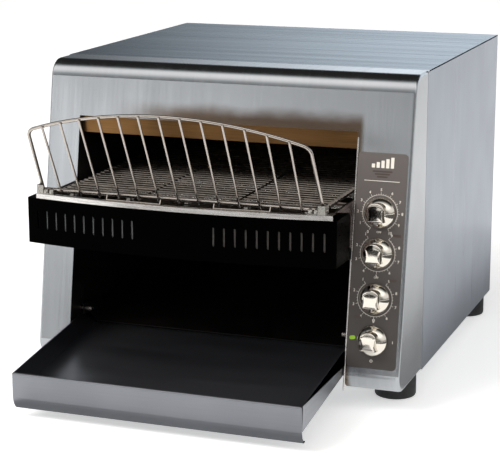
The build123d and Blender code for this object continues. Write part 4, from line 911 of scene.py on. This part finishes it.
class TOASTER_OT_dials(bpy.types.Operator):
    """Prints the dials on the control film"""
    bl_idname = "toaster.dials"
    bl_label = "Dials"

    def execute(self, context):
        controls = context.scene.toaster_controls
        light, dark = ink("light_screen_ink", tuple(controls.ink)), ink("dark_screen_ink", tuple(controls.dark_ink))
        green = ink("green_screen_ink", linear("#8dbb2a"))
        line, digit = controls.line, controls.digit
        speed = [(str(n), SPEED_STEP * (n - 5)) for n in range(11)]
        heat = [(str(n), -HEAT_STEP * n) for n in range(1, 10)]
        groups = {"speed": dial(line, digit, speed, (speed[0][1], speed[-1][1]))}
        for name in ("top_heat", "bottom_heat"):
            groups[name] = dial(line, digit, heat, (heat[-1][1], heat[0][1]))
            groups[name].append(lettering("OFF", WORD_HEIGHT, 0, 27.0 * MM))
        groups["power"] = [lettering(text, MARK_HEIGHT, x * MM, y * MM)
                           for text, x, y in (("O", 0, 26.0), ("O", 0, -26.0), ("I", 26.5, 0))]
        groups["power"].append((*bar((-26.5 * MM, 2 * MM), (8 * MM, 5 * MM), 0.15, 2.5 * MM), 2))
        for name, x, y in (("top_heat", 24, 24), ("bottom_heat", 22, 25), ("bottom_heat", -21, -25)):
            groups[name].append((*bar((x * MM, y * MM), (10 * MM, 3.6 * MM), 0, 0.8 * MM), 1))
        for name, shapes in groups.items():
            placed = [(on_face(s[0], KNOB_X, KNOB_Z[name]), *s[1:]) for s in shapes]
            build(f"{name}_dial_print", placed, [light, dark, green], "cabinet",
                  flat=True)
        badge = []
        for step in range(5):
            tall = (5 + 2.2 * step) * MM
            badge.append(bar(((step - 2) * BADGE_PITCH, 14 * MM + tall / 2), (BADGE_BAR, tall), 0, 0.6 * MM))
        for step, wide in enumerate((26, 20, 14)):
            badge.append((*bar((0, (9.5 - 3.4 * step) * MM), (wide * MM, 2 * MM), 0, 0.9 * MM), 1))
        badge.append(bar((0, -2.5 * MM), (46 * MM, 0.7 * MM)))
        placed = [(on_face(s[0], KNOB_X, BADGE_Z), *s[1:]) for s in badge]
        build("column_badge_print", placed, [light, dark], "cabinet", flat=True)
        return {"FINISHED"}


def area_light(name, place, size, power):
    """Soft rectangular lamp that faces the machine. Shiny surfaces see the surroundings in its place."""
    lamp = bpy.data.lights.new(name, "AREA")
    lamp.shape, lamp.size, lamp.size_y = "RECTANGLE", *size
    lamp.energy = power
    holder = linked(name, lamp)
    aim = unit(np.subtract(place, LAMP_TARGET))
    side = unit(np.cross((0.0, 0.0, 1.0), aim))
    set_down(holder, place, side, np.cross(aim, side), aim)
    holder.visible_glossy = False


def seamless_paper(colour):
    """White paper: its shadows are kept, and what the lens, metal and glass see of it is lifted to white."""
    material, tree, place = start("seamless_paper")
    fibre = noise(tree, place, [2 * MM] * 3, detail=2.0)
    ray = add(tree, "LightPath").outputs
    seen = maths(tree, "MAXIMUM", ray["Is Camera Ray"], ray["Is Glossy Ray"])
    seen = maths(tree, "MAXIMUM", seen, ray["Is Transmission Ray"])
    close(tree, Base_Color=(*colour, 1), Roughness=0.9, Normal=bumped(tree, fibre, 0.05, 0.1 * MM),
          Specular_IOR_Level=0.1, Emission_Color=(1.0, 1.0, 1.0, 1.0),
          Emission_Strength=maths(tree, "MULTIPLY", seen, FLOOR_LIFT))
    return material


def dark_card(name, corners, level):
    """Grey card on the floor that only shiny surfaces see. The front and right cards stand for the dim parts of the
    room; the tray and side cards are painted shadow of the machine on the floor.
    """
    material, tree, _ = start(name)
    close(tree, Base_Color=(0.0, 0.0, 0.0, 1.0), Roughness=1.0, Specular_IOR_Level=0.0,
          Emission_Color=(level, level, level, 1.0), Emission_Strength=1.0)
    mesh = bpy.data.meshes.new(name)
    mesh.from_pydata([(x, y, CARD_LEVEL) for x, y in corners], [], [(0, 1, 2, 3)])
    mesh.materials.append(material)
    card = linked(name, mesh)
    card.visible_camera = card.visible_diffuse = card.visible_shadow = card.visible_transmission = False


def surroundings():
    """Studio round the machine, the same for every ray. Its brightness follows the angle in the YZ plane
    from the front horizon over the top to the back horizon: white, a dark gap, a wide soft light, a dark
    ceiling, and white again. Low in front and low behind, the room replaces it, and towards the left and
    right ends everything evens out."""
    world = bpy.data.worlds.new("studio")
    world.use_nodes = True
    tree = world.node_tree
    tree.nodes.clear()
    x, y, z = apart(tree, add(tree, "TexCoord").outputs["Generated"])

    def zone(value, name, draw=eased):
        return draw(tree, value, *ZONES[name])

    def blend(amount, first, second):
        return add(tree, "Mix", {0: amount, 2: first, 3: second}).outputs[0]

    def grey(value):
        return add(tree, "CombineColor", {0: value, 1: value, 2: value}).outputs[0]

    ahead = maths(tree, "MULTIPLY", y, -1.0)
    turn = maths(tree, "DIVIDE", maths(tree, "ARCTAN2", z, ahead), math.pi)
    light = ramp(tree, turn, [
        (degrees / 180, (level * red, level * green, level * blue))
        for degrees, level, (red, green, blue) in STUDIO])
    # Low in front the room is dark to the right and bright to the left
    room = blend(zone(x, "left"), zone(z, "rise", mapped),
                 zone(z, "window", mapped))
    room = grey(blend(zone(x, "right"), room, RIGHT_LEVEL))
    where = maths(tree, "MULTIPLY", zone(ahead, "front"), zone(z, "below"))
    light = mixed(tree, where, light, room)
    # Low behind the machine it is dark to the left and bright to the right
    wall = add(tree, "VectorMath", {0: WALL_TINT, "Scale": zone(x, "wall")},
               operation="SCALE").outputs[0]
    where = maths(tree, "MULTIPLY", zone(y, "behind"), zone(z, "under"))
    light = mixed(tree, where, light, wall)
    # Towards both ends only the height counts
    light = mixed(tree, zone(maths(tree, "ABSOLUTE", x), "ends"), light,
                  grey(zone(z, "plain")))
    glow = add(tree, "Background", {"Color": light, "Strength": 1.0})
    add(tree, "OutputWorld", {"Surface": glow.outputs[0]})
    return world


class TOASTER_OT_stage(bpy.types.Operator):
    """Lays the floor and sets the light and the camera"""
    bl_idname = "toaster.stage"
    bl_label = "Stage"

    def execute(self, context):
        scene, stage = context.scene, context.scene.toaster_stage
        across = np.linspace(-FLOOR_REACH, FLOOR_REACH, FLOOR_POINTS)
        x, y = np.meshgrid(across, across, indexing="ij")
        floor_mesh = bpy.data.meshes.new("studio_floor")
        floor_mesh.from_pydata(np.stack([x, y, np.full_like(x, FLOOR_Z)], -1).reshape(-1, 3).tolist(), [],
                               grid_faces(FLOOR_POINTS, FLOOR_POINTS, flip=True).tolist())
        floor_mesh.materials.append(seamless_paper(tuple(stage.floor)))
        floor = linked("studio_floor", floor_mesh)
        for name, level, corners in CARDS:
            dark_card(name, corners, level)
        scene.world = surroundings()
        for name, place, size, share in LAMPS:
            area_light(name, place, size, stage.key * share)

        lens = bpy.data.cameras.new("view")
        lens.lens, lens.sensor_width, lens.sensor_fit = stage.focal, 36.0, "HORIZONTAL"
        lens.clip_end = 4 * FLOOR_REACH
        camera = linked("view", lens)
        yaw, pitch, roll = (math.radians(a) for a in CAMERA_TURN)
        forward = np.array([-math.sin(yaw) * math.cos(pitch), math.cos(yaw) * math.cos(pitch), -math.sin(pitch)])
        right = np.array([math.cos(yaw), math.sin(yaw), 0.0])
        above = np.cross(right, forward)
        right, above = (right * math.cos(roll) + above * math.sin(roll),
                        above * math.cos(roll) - right * math.sin(roll))
        set_down(camera, CAMERA_PLACE, right, above, -forward)
        scene.camera = camera
        scene.view_settings.view_transform = "Standard"
        return {"FINISHED"}


class TOASTER_PT_panel(bpy.types.Panel):
    """Lists the toaster's pieces and settings"""
    bl_idname = "TOASTER_PT_panel"
    bl_label = "Conveyor toaster"
    bl_space_type = "VIEW_3D"
    bl_region_type = "UI"
    bl_category = "Toaster"

    def draw(self, context):
        for operator in OPERATORS:
            self.layout.operator(operator.bl_idname)
        for group, settings in SETTINGS.items():
            box = self.layout.box()
            for name in settings.__annotations__:
                box.prop(getattr(context.scene, group), name)


OPERATORS = [
    TOASTER_OT_stage, TOASTER_OT_finishes, TOASTER_OT_belt, TOASTER_OT_rack, TOASTER_OT_backing,
    TOASTER_OT_edge, TOASTER_OT_knobs, TOASTER_OT_dials,
]


def register():
    for kind in [*SETTINGS.values(), *OPERATORS, TOASTER_PT_panel]:
        bpy.utils.register_class(kind)
    for group, settings in SETTINGS.items():
        setattr(bpy.types.Scene, group, bpy.props.PointerProperty(type=settings))


def unregister():
    for group in SETTINGS:
        delattr(bpy.types.Scene, group)
    for kind in reversed([*SETTINGS.values(), *OPERATORS, TOASTER_PT_panel]):
        bpy.utils.unregister_class(kind)


def main():
    """Builds every piece."""
    register()
    for operator in OPERATORS:
        group, name = operator.bl_idname.split(".")
        getattr(getattr(bpy.ops, group), name)()


if __name__ == "__main__":
    main()
